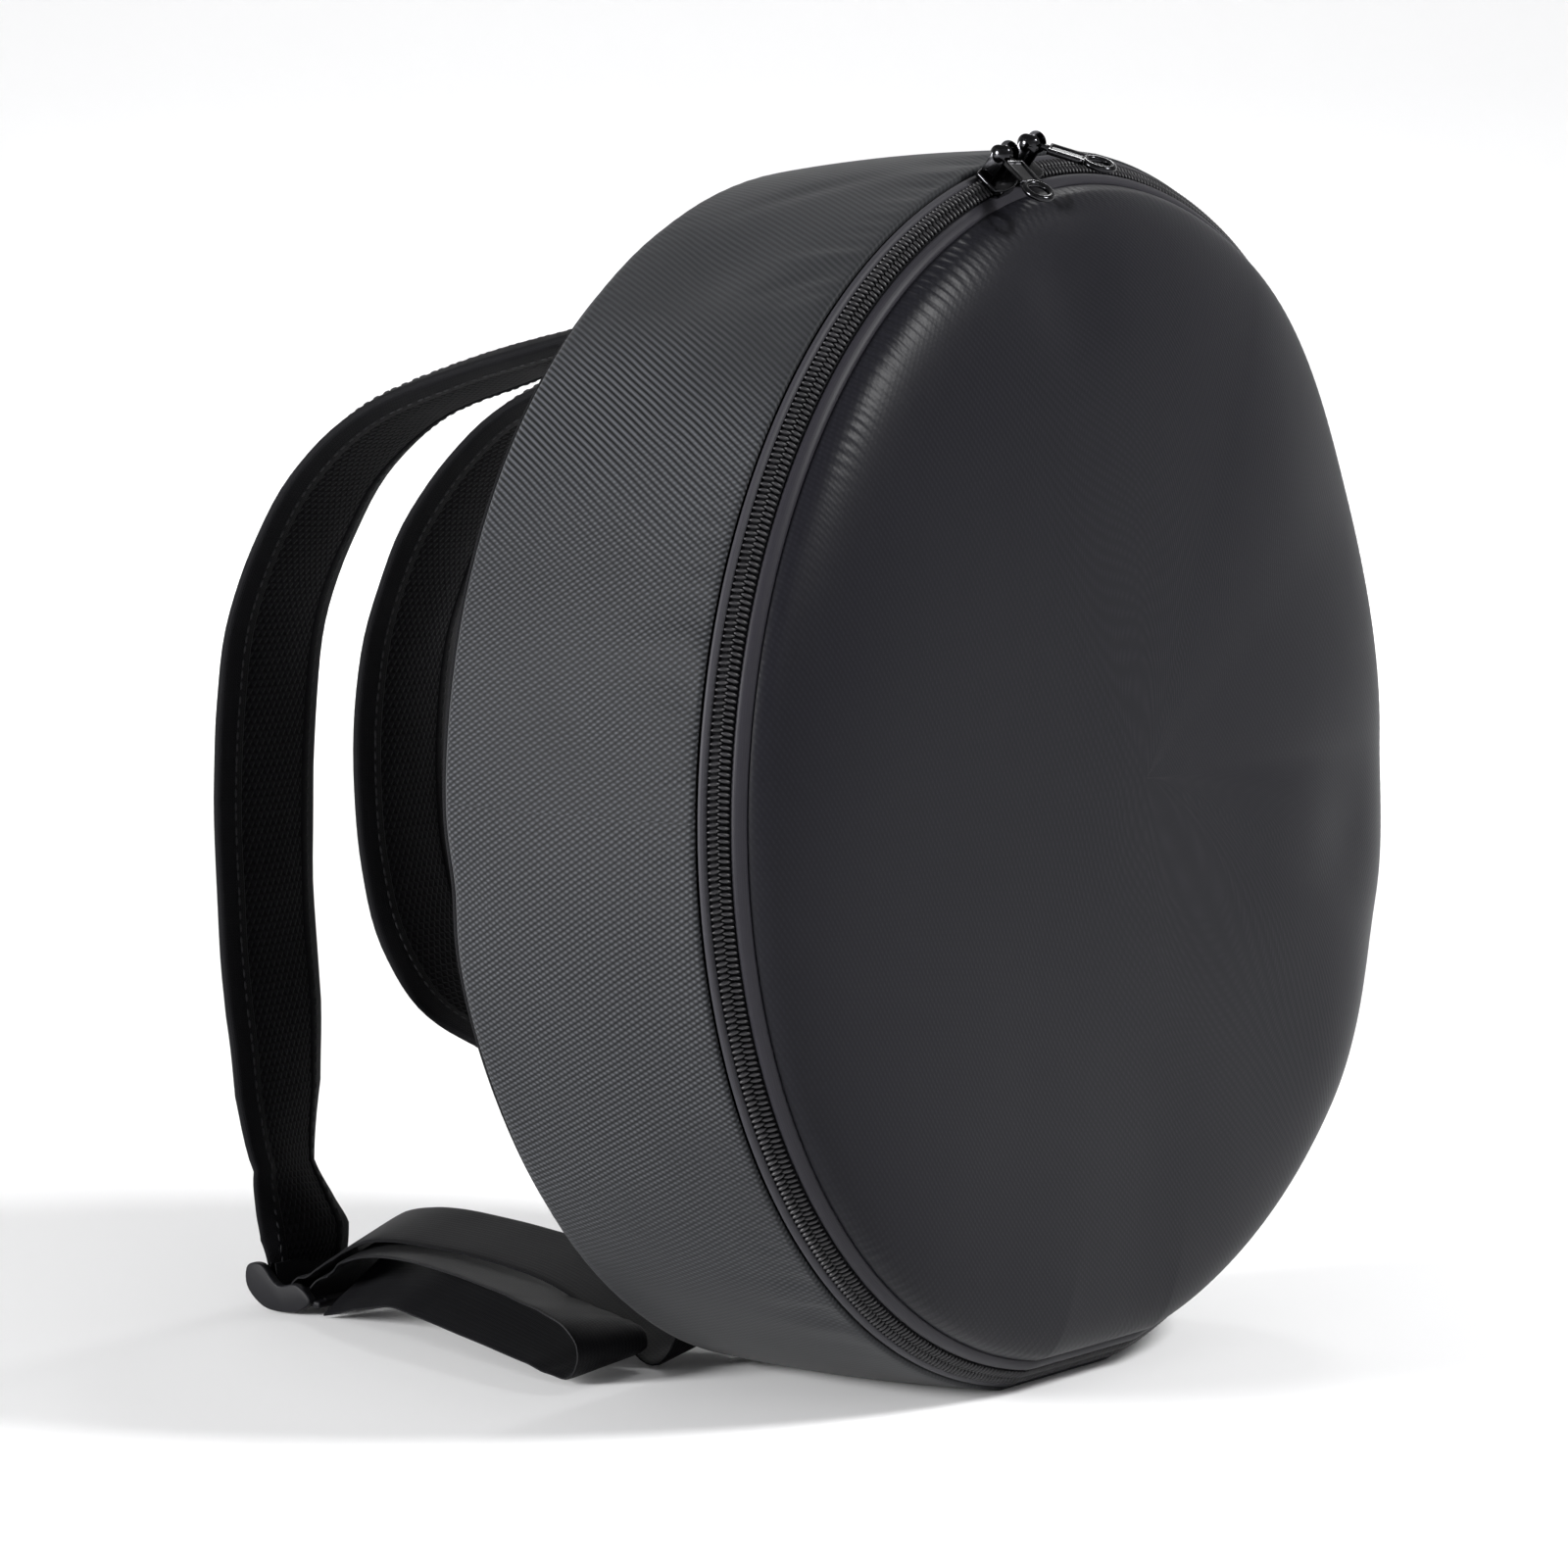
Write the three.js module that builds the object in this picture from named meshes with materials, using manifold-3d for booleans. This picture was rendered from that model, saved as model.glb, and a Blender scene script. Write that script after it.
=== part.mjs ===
// A round, drum-shaped backpack that stands on its own rim, with its shoulder straps behind it.
// Millimetres, +Z up. The zipped front faces -Y and the straps are at +Y. The origin is the middle
// of the flat that the bag stands on. Depths in the tables are measured back from the front seam.

import * as THREE from 'three';
import { mergeVertices } from 'three/addons/utils/BufferGeometryUtils.js';
import Module from 'manifold-3d';

const wasm = await Module();
wasm.setup();

// Driving dimensions of the bag
const bagRadius = 200;
const gussetDepth = 102;
const backTaper = 7;
const taperPower = 1.5;
const straightDown = 270;
const gussetCrown = 1.5;
const edgeRound = 8;
const wall = 4;
const groundSag = 2.5;
const axisHeight = bagRadius - groundSag;
const turns = 80;
const seamGap = 0.4;

// The underside gives up its taper, so that the flat runs the whole depth. Angles are from straight down.
const underside = { fill: backTaper + 0.4, fullTo: 14, goneBy: 65, pressedBelow: -170, freeAbove: -120 };
const setBackReach = 60;

// The zip lies on a slanted band between the gusset's front seam and the groove round the panel
const grooveRadius = 189;
const grooveDepth = 12;
const tapeThickness = 1.2;
const outerTape = { from: 0.4, to: 4.2 };
const coil = { from: 4.5, to: 10.9, height: 1.1, sunk: 1.0 };
const innerTape = { from: 11.2, to: 15.9 };

// Padded front and back
const frontDepth = 33;
const frontFullness = 4;
const frontPadding = 4;
const innerSwellLoss = 1.3;
const backPanel = { radius: 185.8, ring: 110, face: 103, inside: 95 };
// The back panel's soft edge: in from its rim and down from its face
const backEdge = [
  { inward: 13, down: 0 },
  { inward: 4.5, down: 0.8 },
  { inward: 0, down: 3.5 },
  { inward: 0, down: 6 },
  { inward: 4.5, down: 8 },
];

// Straps, webbing and buckles
const strapCentre = 41;
const strapWidth = 50;
const strapThickness = 9.5;
const webbingWidth = 38;
const webbingThickness = 1.4;
const tab = { thickness: 1.2, waistAt: 0.55, waist: 1.9, end: 1, foldFrom: 60, foldTo: 300, foldStep: 30 };
const buckle = {
  inside: 39.2,
  cheek: 3.5,
  strapBar: 12,
  strapBarRadius: 2.2,
  middleBarRadius: 2,
  barSides: 14,
  lipFrom: -6,
  lipTo: -11.5,
  lipRound: 1,
  lipThickness: 2.4,
  lipDrop: 0.8,
};
// The side of a buckle's cheek: a crescent with its hollow towards the strap. The middle bar is at 0, 0.
const cheekOutline = [
  { along: -8.5, up: 0.4 },
  { along: -1.6, up: 4.7 },
  { along: 6.4, up: 2.7 },
  { along: 14.8, up: 8.3 },
  { along: 20.6, up: 6.6 },
  { along: 20.2, up: -0.4 },
  { along: 12, up: -6.2 },
  { along: 2, up: -6 },
  { along: -5.4, up: -3.4 },
];
const cheekSteps = 28;
const nearBuckle = { x: -strapCentre, y: 271, z: 6.4, tilt: 7 };
const farBuckle = { x: strapCentre, y: 206.6, z: 69.8, tilt: 18 };

// Zip sliders and their pulls
const slider = {
  length: 14,
  width: 11,
  endWidth: 7.9,
  shoulderAt: 4.2,
  plate: 2,
  railFrom: 5.3,
  rail: 1.75,
  railLength: 8.4,
  clearance: 0.35,
};
const ear = {
  inside: 2.9,
  outside: 4.3,
  radius: 3.6,
  foot: 2.4,
  axisAbovePlate: 7.8,
  axisBack: 2.4,
  pin: 0.8,
  pinInto: 0.8,
};
const pull = {
  length: 28,
  barWidth: 6.6,
  barFrom: 5.6,
  eyeWidth: 10.4,
  eyeLength: 11.6,
  flareFrom: 6.4,
  flareTo: 4.2,
  holeWidth: 5.8,
  holeLength: 7.5,
  thickness: 2,
  neck: 1.6,
  hub: 2.8,
  pinHole: 1.6,
};
const pocket = { margin: 1.4, aboveEye: 7.3, belowBar: 1.5, depth: 0.5 };
const leftSlider = { angle: 104.2, yaw: -27, lift: 14 };
const rightSlider = { angle: 99.8, yaw: 21, lift: 20 };

// How the soft rim departs from a true circle. Angles run from +X through the top.
// setBack pushes the front seam back, lean lays the zip band flatter, fullness fills the panel's edge.
const rimRows = [
  { angle: 0, setBack: 0.6, lean: 5, fullness: 3 },
  { angle: 26, setBack: 4.8, lean: 4, fullness: 3 },
  { angle: 62, setBack: 0.2, lean: 1, fullness: 5 },
  { angle: 95, setBack: 0, lean: 0, fullness: 8 },
  { angle: 135, setBack: 0, lean: 0, fullness: 5 },
  { angle: 180, setBack: 0, lean: 0, fullness: 5 },
  { angle: 270, setBack: 0, lean: 0, fullness: 6 },
  { angle: 318, setBack: 0, lean: 0, fullness: 12 },
  { angle: 342, setBack: 0, lean: 3.5, fullness: 6 },
];

// Soft dents: in the gusset at an angle and a depth, in the front panel at a place on its face
const gussetDents = [
  { angle: 125, y: 56, depth: 3.2, spread: 26 },
  { angle: 172, y: 46, depth: 2.6, spread: 30 },
  { angle: 188, y: 100, depth: 3, spread: 16 },
  { angle: 30, y: 60, depth: 2, spread: 36 },
];
const panelDents = [
  { x: -40, z: 160, depth: 3, spread: 20 },
  { x: 138, z: -30, depth: 2.5, spread: 26 },
];

// Centre lines of the two straps, from their seam in the back panel down to their buckles.
// wide and thick are shares of the full strap, cant is a turn about the line where there is one.
const strapTop = [
  { y: 103.5, z: 345.2, wide: 0.96, thick: 0.74 },
  { y: 111, z: 345, wide: 0.98, thick: 0.84 },
  { y: 130, z: 341, wide: 1, thick: 0.95 },
  { y: 165, z: 332.5, wide: 1, thick: 1 },
  { y: 202, z: 323, wide: 1, thick: 1 },
  { y: 238, z: 309.5, wide: 1, thick: 1 },
];
const nearStrapRows = [
  ...strapTop,
  { y: 262, z: 292, wide: 1, thick: 1 },
  { y: 280, z: 268, wide: 1, thick: 1 },
  { y: 293, z: 241, wide: 1, thick: 1 },
  { y: 298.7, z: 211, wide: 1, thick: 1 },
  { y: 300.8, z: 177, wide: 1, thick: 1 },
  { y: 300, z: 136, wide: 0.99, thick: 1, cant: -1 },
  { y: 297.2, z: 102, wide: 0.99, thick: 1, cant: -2 },
  { y: 295.2, z: 74, wide: 0.98, thick: 0.97, cant: -6 },
  { y: 293, z: 47, wide: 0.95, thick: 0.88, cant: -18 },
  { y: 287.6, z: 35, wide: 0.88, thick: 0.78, cant: -6 },
  { y: 282.6, z: 25, wide: 0.81, thick: 0.62, cant: 6 },
  { y: 282.4, z: 15, wide: 0.72, thick: 0.42, cant: 6 },
];
const farStrapRows = [
  ...strapTop,
  { y: 263, z: 291, wide: 1, thick: 1 },
  { y: 283, z: 267, wide: 1, thick: 1 },
  { y: 297, z: 239, wide: 1, thick: 1 },
  { y: 304.5, z: 209, wide: 1, thick: 1 },
  { y: 306, z: 173, wide: 1, thick: 1 },
  { y: 303, z: 145, wide: 1, thick: 1 },
  { y: 294, z: 118, wide: 1, thick: 1 },
  { y: 278, z: 98, wide: 0.98, thick: 0.95 },
  { y: 257, z: 87, wide: 0.94, thick: 0.89 },
  { y: 238, z: 80, wide: 0.86, thick: 0.74 },
  { y: 227, z: 76.4, wide: 0.76, thick: 0.53 },
];

// Webbing through a ladder lock, in the buckle's own frame: along points to the strap, up to the wearer.
// It comes over the lip, goes down past the middle bar, round it and out again between lip and webbing.
const threadRows = [
  { along: 1.2, up: 5.8 },
  { along: 3.5, up: 3.1 },
  { along: 4, up: -0.2 },
  { along: 2.5, up: -3 },
  { along: -0.5, up: -3.8 },
  { along: -3.2, up: -2.2 },
  { along: -4.1, up: 0.6 },
  { along: -4.8, up: 3.6 },
];

// The near webbing: from the bag's lower seam to the buckle, then its tail in a loop on the floor.
// aside is measured from the buckle's middle, cant is a turn about the line.
const nearWebbingToBuckle = [
  { aside: -6, y: 103.5, z: 13.6, cant: 0 },
  { aside: -6.5, y: 106.4, z: 11.4, cant: -3 },
  { aside: -7, y: 109.6, z: 6.8, cant: -6 },
  { aside: -7.5, y: 114, z: 3.7, cant: -8 },
  { aside: -6.5, y: 124, z: 8.6, cant: -8 },
  { aside: -5, y: 136, z: 15.2, cant: -7 },
  { aside: -3.5, y: 149, z: 21.4, cant: -7 },
  { aside: -1.6, y: 165, z: 26, cant: -7 },
  { aside: 0, y: 192, z: 29.8, cant: -7 },
  { aside: 0, y: 213, z: 31.6, cant: -8 },
  { aside: 0, y: 229, z: 32.2, cant: -9 },
  { aside: 0, y: 241, z: 31.2, cant: -10 },
  { aside: 0, y: 251, z: 28.2, cant: -13 },
  { aside: 0, y: 258.5, z: 23.8, cant: -13 },
  { aside: 0, y: 264.5, z: 18.6, cant: -9 },
  { aside: 0, y: 268.6, z: 14, cant: -4 },
];
const nearWebbingTail = [
  { aside: 0, y: 263.2, z: 13.8, cant: 4 },
  { aside: -0.5, y: 259, z: 18.4, cant: 11 },
  { aside: -2.5, y: 251, z: 23.4, cant: 14 },
  { aside: -6.5, y: 239.5, z: 26, cant: 11 },
  { aside: -12.5, y: 221, z: 26.6, cant: 2 },
  { aside: -19.5, y: 201, z: 25.8, cant: -4 },
  { aside: -29.5, y: 173, z: 23.6, cant: -9 },
  { aside: -40, y: 145, z: 21, cant: -12 },
  { aside: -46, y: 128.5, z: 19.4, cant: -10 },
  { aside: -47.6, y: 119.5, z: 17, cant: -6 },
  { aside: -47.6, y: 114.6, z: 12.2, cant: -1 },
  { aside: -47.6, y: 114.6, z: 7.4, cant: 0 },
  { aside: -47.4, y: 118, z: 4.2, cant: -4 },
  { aside: -46.4, y: 124.5, z: 4.8, cant: -7 },
  { aside: -43, y: 135, z: 6.8, cant: -9 },
  { aside: -36.5, y: 153.5, z: 9.4, cant: -12 },
  { aside: -30, y: 172.5, z: 11.8, cant: -15 },
  { aside: -20.5, y: 200, z: 14.8, cant: -18 },
  { aside: -15, y: 217, z: 16, cant: -19 },
  { aside: -9.8, y: 235, z: 13.6, cant: -21 },
  { aside: -5, y: 250, z: 10.8, cant: -25 },
  { aside: -4, y: 257.4, z: 9.8, cant: -27 },
];

// The far webbing is hidden behind the bag: it rises straight to its buckle and its tail falls to the floor
const farWebbingToBuckle = [
  { aside: 0, y: 103.5, z: 12.6, cant: 0 },
  { aside: 0, y: 108, z: 12.4, cant: 0 },
  { aside: 0, y: 118, z: 15, cant: 0 },
  { aside: 0, y: 134, z: 29, cant: 0 },
  { aside: 0, y: 156, z: 50, cant: 0 },
  { aside: 0, y: 178, z: 66, cant: 0 },
  { aside: 0, y: 194, z: 73.2, cant: 0 },
];
const farWebbingTail = [
  { aside: 0, y: 192, z: 67.6, cant: 0 },
  { aside: 0, y: 184, z: 61.5, cant: 0 },
  { aside: 0, y: 179, z: 49, cant: 0 },
  { aside: 0, y: 176, z: 31, cant: 0 },
  { aside: 0, y: 172, z: 14, cant: 0 },
  { aside: 0, y: 163, z: 3.6, cant: 0 },
  { aside: 0, y: 149, z: 1, cant: 0 },
  { aside: 0, y: 124, z: 0.9, cant: 0 },
];

// Small mathematics

const radians = THREE.MathUtils.degToRad;
const smoothstep = THREE.MathUtils.smoothstep;
const lerp = THREE.MathUtils.lerp;

function bell(distance, spread) {
  return Math.exp(-((distance / spread) ** 2));
}

// The shortest way from one angle to another, in degrees
function angleBetween(angle, other) {
  return THREE.MathUtils.euclideanModulo(angle - other + 180, 360) - 180;
}

// The rim's values at an angle, eased from one row of the table to the next
function rimAt(angle) {
  const turn = THREE.MathUtils.euclideanModulo(angle, 360);
  const index = rimRows.findLastIndex((row) => row.angle <= turn);
  const row = rimRows[index];
  const next = rimRows[(index + 1) % rimRows.length];
  const share = (turn - row.angle) / THREE.MathUtils.euclideanModulo(next.angle - row.angle, 360);
  const ease = smoothstep(share, 0, 1);
  return {
    setBack: lerp(row.setBack, next.setBack, ease),
    lean: lerp(row.lean, next.lean, ease),
    fullness: lerp(row.fullness, next.fullness, ease),
  };
}

// Closed solids

// Joins a geometry's shared corners, drops its empty faces and turns its faces outwards
function closed(geometry) {
  const bare = geometry.clone();
  bare.deleteAttribute('normal');
  bare.deleteAttribute('uv');
  const merged = mergeVertices(bare, 1e-3);
  const place = merged.getAttribute('position');
  const corner = [0, 1, 2].map(() => new THREE.Vector3());
  const faces = [];
  let volume = 0;
  for (let i = 0; i < merged.index.count; i += 3) {
    const face = [0, 1, 2].map((k) => merged.index.getX(i + k));
    if (new Set(face).size < 3) continue;
    face.forEach((vertex, k) => corner[k].fromBufferAttribute(place, vertex));
    volume += corner[0].dot(corner[1].cross(corner[2]));
    faces.push(face);
  }
  merged.setIndex((volume < 0 ? faces.map((face) => face.toReversed()) : faces).flat());
  return merged;
}

function toManifold(geometry) {
  const solid = closed(geometry);
  return new wasm.Manifold(new wasm.Mesh({
    numProp: 3,
    vertProperties: new Float32Array(solid.getAttribute('position').array),
    triVerts: new Uint32Array(solid.index.array),
  }));
}

function fromManifold(manifold) {
  const mesh = manifold.getMesh();
  const geometry = new THREE.BufferGeometry();
  geometry.setAttribute('position', new THREE.BufferAttribute(new Float32Array(mesh.vertProperties), 3));
  geometry.setIndex(new THREE.BufferAttribute(new Uint32Array(mesh.triVerts), 1));
  return geometry;
}

function union(geometries) {
  const solids = geometries.map(toManifold);
  return fromManifold(solids.reduce((whole, piece) => whole.add(piece)));
}

function subtract(geometry, cutters) {
  const whole = toManifold(geometry);
  return fromManifold(cutters.map(toManifold).reduce((rest, cutter) => rest.subtract(cutter), whole));
}

function movePoints(geometry, move) {
  const place = geometry.getAttribute('position');
  const point = new THREE.Vector3();
  for (let i = 0; i < place.count; i += 1) {
    point.fromBufferAttribute(place, i);
    move(point);
    place.setXYZ(i, point.x, point.y, point.z);
  }
  return geometry;
}

function boxBetween(low, high) {
  const size = high.clone().sub(low);
  const middle = low.clone().add(high).multiplyScalar(0.5);
  return new THREE.BoxGeometry(size.x, size.y, size.z).translate(middle.x, middle.y, middle.z);
}

// A round bar along X
function barAlongX(radius, from, to, y, z, sides) {
  const bar = new THREE.CylinderGeometry(radius, radius, to - from, sides);
  return bar.rotateZ(Math.PI / 2).translate((from + to) / 2, y, z);
}

// A side outline in the YZ plane, given as a shape of (y, z), extruded along X
function extrudeAlongX(outline, from, to) {
  const prism = { depth: to - from, bevelEnabled: false, curveSegments: 6 };
  const solid = new THREE.ExtrudeGeometry(outline, prism);
  solid.applyMatrix4(new THREE.Matrix4().makeBasis(
    new THREE.Vector3(0, 1, 0), new THREE.Vector3(0, 0, 1), new THREE.Vector3(1, 0, 0)));
  return solid.translate(from, 0, 0);
}

// The bag's soft form

// Lets a point of the round bag settle: the bottom flattens, the rim gives way and the cloth dents.
// The point is measured from the bag's axis and front seam.
function settle(point) {
  const angle = THREE.MathUtils.radToDeg(Math.atan2(point.z, point.x));
  const rim = rimAt(angle);
  let radius = Math.hypot(point.x, point.z);
  const reach = radius / bagRadius;
  const depthShare = THREE.MathUtils.clamp(point.y / gussetDepth, 0, 1);

  const fromBottom = Math.abs(angleBetween(angle, straightDown));
  const under = 1 - smoothstep(fromBottom, underside.fullTo, underside.goneBy);
  radius += underside.fill * under * depthShare ** taperPower * reach ** 3;
  for (const dent of gussetDents) {
    const arc = radians(angleBetween(angle, dent.angle)) * bagRadius;
    radius -= dent.depth * bell(arc, dent.spread) * bell(point.y - dent.y, dent.spread) * reach ** 3;
  }

  const onFront = smoothstep(-point.y, 0, grooveDepth);
  let y = point.y + rim.setBack * (1 - smoothstep(point.y, 0, setBackReach)) * reach ** 3;
  y += rim.lean * onFront * reach ** 4;
  for (const dent of panelDents) {
    y += dent.depth * onFront * bell(Math.hypot(point.x - dent.x, point.z - dent.z), dent.spread);
  }

  const x = radius * Math.cos(radians(angle));
  let z = radius * Math.sin(radians(angle));
  const low = 1 - smoothstep(z, underside.pressedBelow, underside.freeAbove);
  z += low * Math.max(0, Math.sqrt(Math.max(0, bagRadius ** 2 - x ** 2)) - axisHeight);
  point.set(x, y, Math.max(z, -axisHeight));
}

// Fills or slackens the panel's shoulder round the rim, but not the edge that is sewn to the zip
function fillOut(point) {
  const radius = Math.hypot(point.x, point.z);
  if (radius < 1e-6) return;
  const fullness = rimAt(THREE.MathUtils.radToDeg(Math.atan2(point.z, point.x))).fullness;
  const filled = grooveRadius * (radius / grooveRadius) ** (frontFullness / fullness);
  const grown = lerp(radius, filled, smoothstep(-point.y, grooveDepth, 1.5 * grooveDepth));
  point.x *= grown / radius;
  point.z *= grown / radius;
}

// Turns a closed profile of { r, y } round the bag's axis
function turned(profile) {
  const points = profile.map((row) => new THREE.Vector2(row.r, row.y));
  return new THREE.LatheGeometry(points, turns);
}

// A place on the zip band: along it from the seam, and off its surface
function onBand(along, off) {
  const length = Math.hypot(bagRadius - grooveRadius, grooveDepth);
  const inward = (bagRadius - grooveRadius) / length;
  const forward = grooveDepth / length;
  return { r: bagRadius - along * inward + off * forward, y: -along * forward - off * inward };
}

function bandRing(band, low, high) {
  const under = [onBand(band.from, low), onBand(band.to, low)];
  const over = [onBand(band.to, high), onBand(band.from, high)];
  const ring = [...under, ...over];
  return closed(movePoints(turned([...ring, ring[0]]), settle));
}

function gussetRadius(y) {
  const share = y / gussetDepth;
  return bagRadius - backTaper * share ** taperPower + gussetCrown * Math.sin(Math.PI * share);
}

function makeGusset() {
  const backStart = gussetDepth - edgeRound;
  const outside = [0, 0.25, 0.5, 0.75, 1].map((share) => share * backStart);
  const profile = outside.map((y) => ({ r: gussetRadius(y), y }));
  const centre = { r: gussetRadius(backStart) - edgeRound, y: backStart };
  for (const bend of [45, 90]) {
    const turn = radians(bend);
    profile.push({ r: centre.r + edgeRound * Math.cos(turn), y: centre.y + edgeRound * Math.sin(turn) });
  }
  for (const bend of [90, 45, 0]) {
    const turn = radians(bend);
    const inside = edgeRound - wall;
    profile.push({ r: centre.r + inside * Math.cos(turn), y: centre.y + inside * Math.sin(turn) });
  }
  for (const share of [0.66, 0.33]) {
    profile.push({ r: gussetRadius(share * backStart) - wall, y: share * backStart });
  }
  profile.push(onBand(0, -wall));
  return closed(movePoints(turned([...profile, profile[0]]), settle));
}

function makeFrontPanel() {
  const swell = frontDepth - grooveDepth;
  const edge = onBand(Math.hypot(bagRadius - grooveRadius, grooveDepth), -frontPadding);
  const dome = (bend, rim, depth, height) => ({
    r: bend === 90 ? 0 : rim * Math.cos(radians(bend)) ** (2 / frontFullness),
    y: -depth - height * Math.sin(radians(bend)),
  });
  const outer = [90, 75, 60, 45, 31, 19, 9, 0].map((bend) => dome(bend, grooveRadius, grooveDepth, swell));
  const inner = [0, 10, 26, 45, 66, 90].map((bend) => dome(bend, edge.r, -edge.y, swell - innerSwellLoss));
  return closed(movePoints(movePoints(turned([...outer, ...inner]), fillOut), settle));
}

function makeBackPanel() {
  const { radius, ring, face, inside } = backPanel;
  const edge = backEdge.map((row) => ({ r: radius - row.inward, y: face - row.down }));
  const profile = [{ r: 0, y: face }, { r: ring, y: face }, ...edge, { r: 0, y: inside }];
  return closed(movePoints(turned(profile), settle));
}

// Straps and webbing

// Sweeps a section along a centre line. Each row has a place, a width, a thickness and a cant about the line.
function sweep(rows, section, stepsPerRow) {
  const line = new THREE.CatmullRomCurve3(rows.map((row) => new THREE.Vector3(row.x, row.y, row.z)));
  const steps = (rows.length - 1) * stepsPerRow;
  const across = new THREE.Vector3();
  const through = new THREE.Vector3();
  const positions = [];
  for (let step = 0; step <= steps; step += 1) {
    const at = line.getPoint(step / steps);
    const tangent = line.getTangent(step / steps);
    const index = Math.min(Math.floor(step / stepsPerRow), rows.length - 2);
    const share = step / stepsPerRow - index;
    const mixed = (key) => lerp(rows[index][key], rows[index + 1][key], share);
    across.set(1, 0, 0).addScaledVector(tangent, -tangent.x).normalize();
    across.applyAxisAngle(tangent, radians(mixed('cant')));
    through.crossVectors(tangent, across);
    for (const corner of section) {
      const place = at.clone();
      place.addScaledVector(across, corner.across * mixed('width') / 2);
      place.addScaledVector(through, corner.through * mixed('thick') / 2);
      positions.push(place.x, place.y, place.z);
    }
  }
  const count = section.length;
  const faces = [];
  for (let step = 0; step < steps; step += 1) {
    for (let k = 0; k < count; k += 1) {
      const a = step * count + k;
      const b = step * count + (k + 1) % count;
      faces.push(a, b, a + count, b, b + count, a + count);
    }
  }
  for (let k = 1; k < count - 1; k += 1) {
    const last = steps * count;
    faces.push(0, k + 1, k, last, last + k, last + k + 1);
  }
  const geometry = new THREE.BufferGeometry();
  geometry.setAttribute('position', new THREE.Float32BufferAttribute(positions, 3));
  geometry.setIndex(faces);
  return closed(geometry);
}

// The section of a padded strap: a soft lens with bound edges
const paddedSection = [
  { across: -1, through: -0.4 },
  { across: -0.88, through: -0.68 },
  { across: -0.4, through: -0.97 },
  { across: 0.4, through: -0.97 },
  { across: 0.88, through: -0.68 },
  { across: 1, through: -0.4 },
  { across: 1, through: 0.4 },
  { across: 0.88, through: 0.68 },
  { across: 0.4, through: 0.97 },
  { across: -0.4, through: 0.97 },
  { across: -0.88, through: 0.68 },
  { across: -1, through: 0.4 },
];
const flatSection = [
  { across: -1, through: -1 },
  { across: 1, through: -1 },
  { across: 1, through: 1 },
  { across: -1, through: 1 },
];

function makeStrap(rows, x) {
  const sized = rows.map((row) => ({
    ...row,
    x,
    width: strapWidth * row.wide,
    thick: strapThickness * row.thick,
    cant: row.cant ?? 0,
  }));
  return sweep(sized, paddedSection, 2);
}

// A place beside a buckle, from its own frame to the bag's
function besideBuckle(at, along, up) {
  const tilt = radians(at.tilt);
  return {
    x: at.x,
    y: at.y + along * Math.cos(tilt) - up * Math.sin(tilt),
    z: at.z + along * Math.sin(tilt) + up * Math.cos(tilt),
  };
}

function makeWebbing(toBuckle, at, tail) {
  const thread = threadRows.map((row) => ({ ...besideBuckle(at, row.along, row.up), aside: 0, cant: 0 }));
  const rows = [...toBuckle, ...thread, ...tail].map((row) => ({
    ...row,
    x: at.x + row.aside,
    width: webbingWidth,
    thick: webbingThickness,
  }));
  return sweep(rows, flatSection, 2);
}

// The tab folds round the buckle's strap bar and its two ends meet the end of the strap
function makeTab(at, strapRows) {
  const bar = besideBuckle(at, buckle.strapBar, 0);
  const strapEnd = strapRows.at(-1);
  const toStrap = new THREE.Vector2(strapEnd.y - bar.y, strapEnd.z - bar.z);
  const length = toStrap.length() - seamGap;
  const along = toStrap.normalize();
  const aside = new THREE.Vector2(-along.y, along.x);
  const fold = buckle.strapBarRadius + seamGap + tab.thickness / 2;
  const places = [{ a: length, b: tab.end }, { a: length * tab.waistAt, b: tab.waist }];
  for (let bend = tab.foldFrom; bend <= tab.foldTo; bend += tab.foldStep) {
    places.push({ a: fold * Math.cos(radians(bend)), b: fold * Math.sin(radians(bend)) });
  }
  places.push({ a: length * tab.waistAt, b: -tab.waist }, { a: length, b: -tab.end });
  const rows = places.map((place) => ({
    x: at.x,
    y: bar.y + place.a * along.x + place.b * aside.x,
    z: bar.z + place.a * along.y + place.b * aside.y,
    width: webbingWidth,
    thick: tab.thickness,
    cant: 0,
  }));
  return sweep(rows, flatSection, 1);
}

// A ladder lock: two crescent cheeks joined by the strap bar, the middle bar and the lip
function makeBuckle() {
  const { inside, cheek, strapBar, barSides } = buckle;
  const lipEnd = buckle.lipTo + buckle.lipRound;
  const lipTop = buckle.lipThickness / 2 - buckle.lipDrop;
  const lipUnder = -buckle.lipThickness / 2 - buckle.lipDrop;
  const bends = cheekOutline.map((row) => new THREE.Vector3(row.along, row.up, 0));
  const rim = new THREE.CatmullRomCurve3(bends, true).getPoints(cheekSteps).slice(0, -1);
  const side = new THREE.Shape(rim.map((point) => new THREE.Vector2(point.x, point.y)));

  const lip = new THREE.Shape();
  lip.moveTo(buckle.lipFrom, lipTop);
  lip.lineTo(lipEnd, lipTop);
  lip.quadraticCurveTo(buckle.lipTo, -buckle.lipDrop, lipEnd, lipUnder);
  lip.lineTo(buckle.lipFrom, lipUnder);
  lip.closePath();

  const half = inside / 2;
  const into = half + cheek / 2;
  return union([
    extrudeAlongX(side, -half - cheek, -half),
    extrudeAlongX(side, half, half + cheek),
    barAlongX(buckle.strapBarRadius, -into, into, strapBar, 0, barSides),
    barAlongX(buckle.middleBarRadius, -into, into, 0, 0, barSides),
    extrudeAlongX(lip, -into, into),
  ]);
}

// Zip sliders and pulls

const sliderBase = coil.height + slider.clearance;
const plateTop = sliderBase + slider.plate;
const pullAxis = plateTop + ear.axisAbovePlate;
const sliderSides = { ear: 16, pin: 10, hub: 16, pinHole: 14 };

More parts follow.
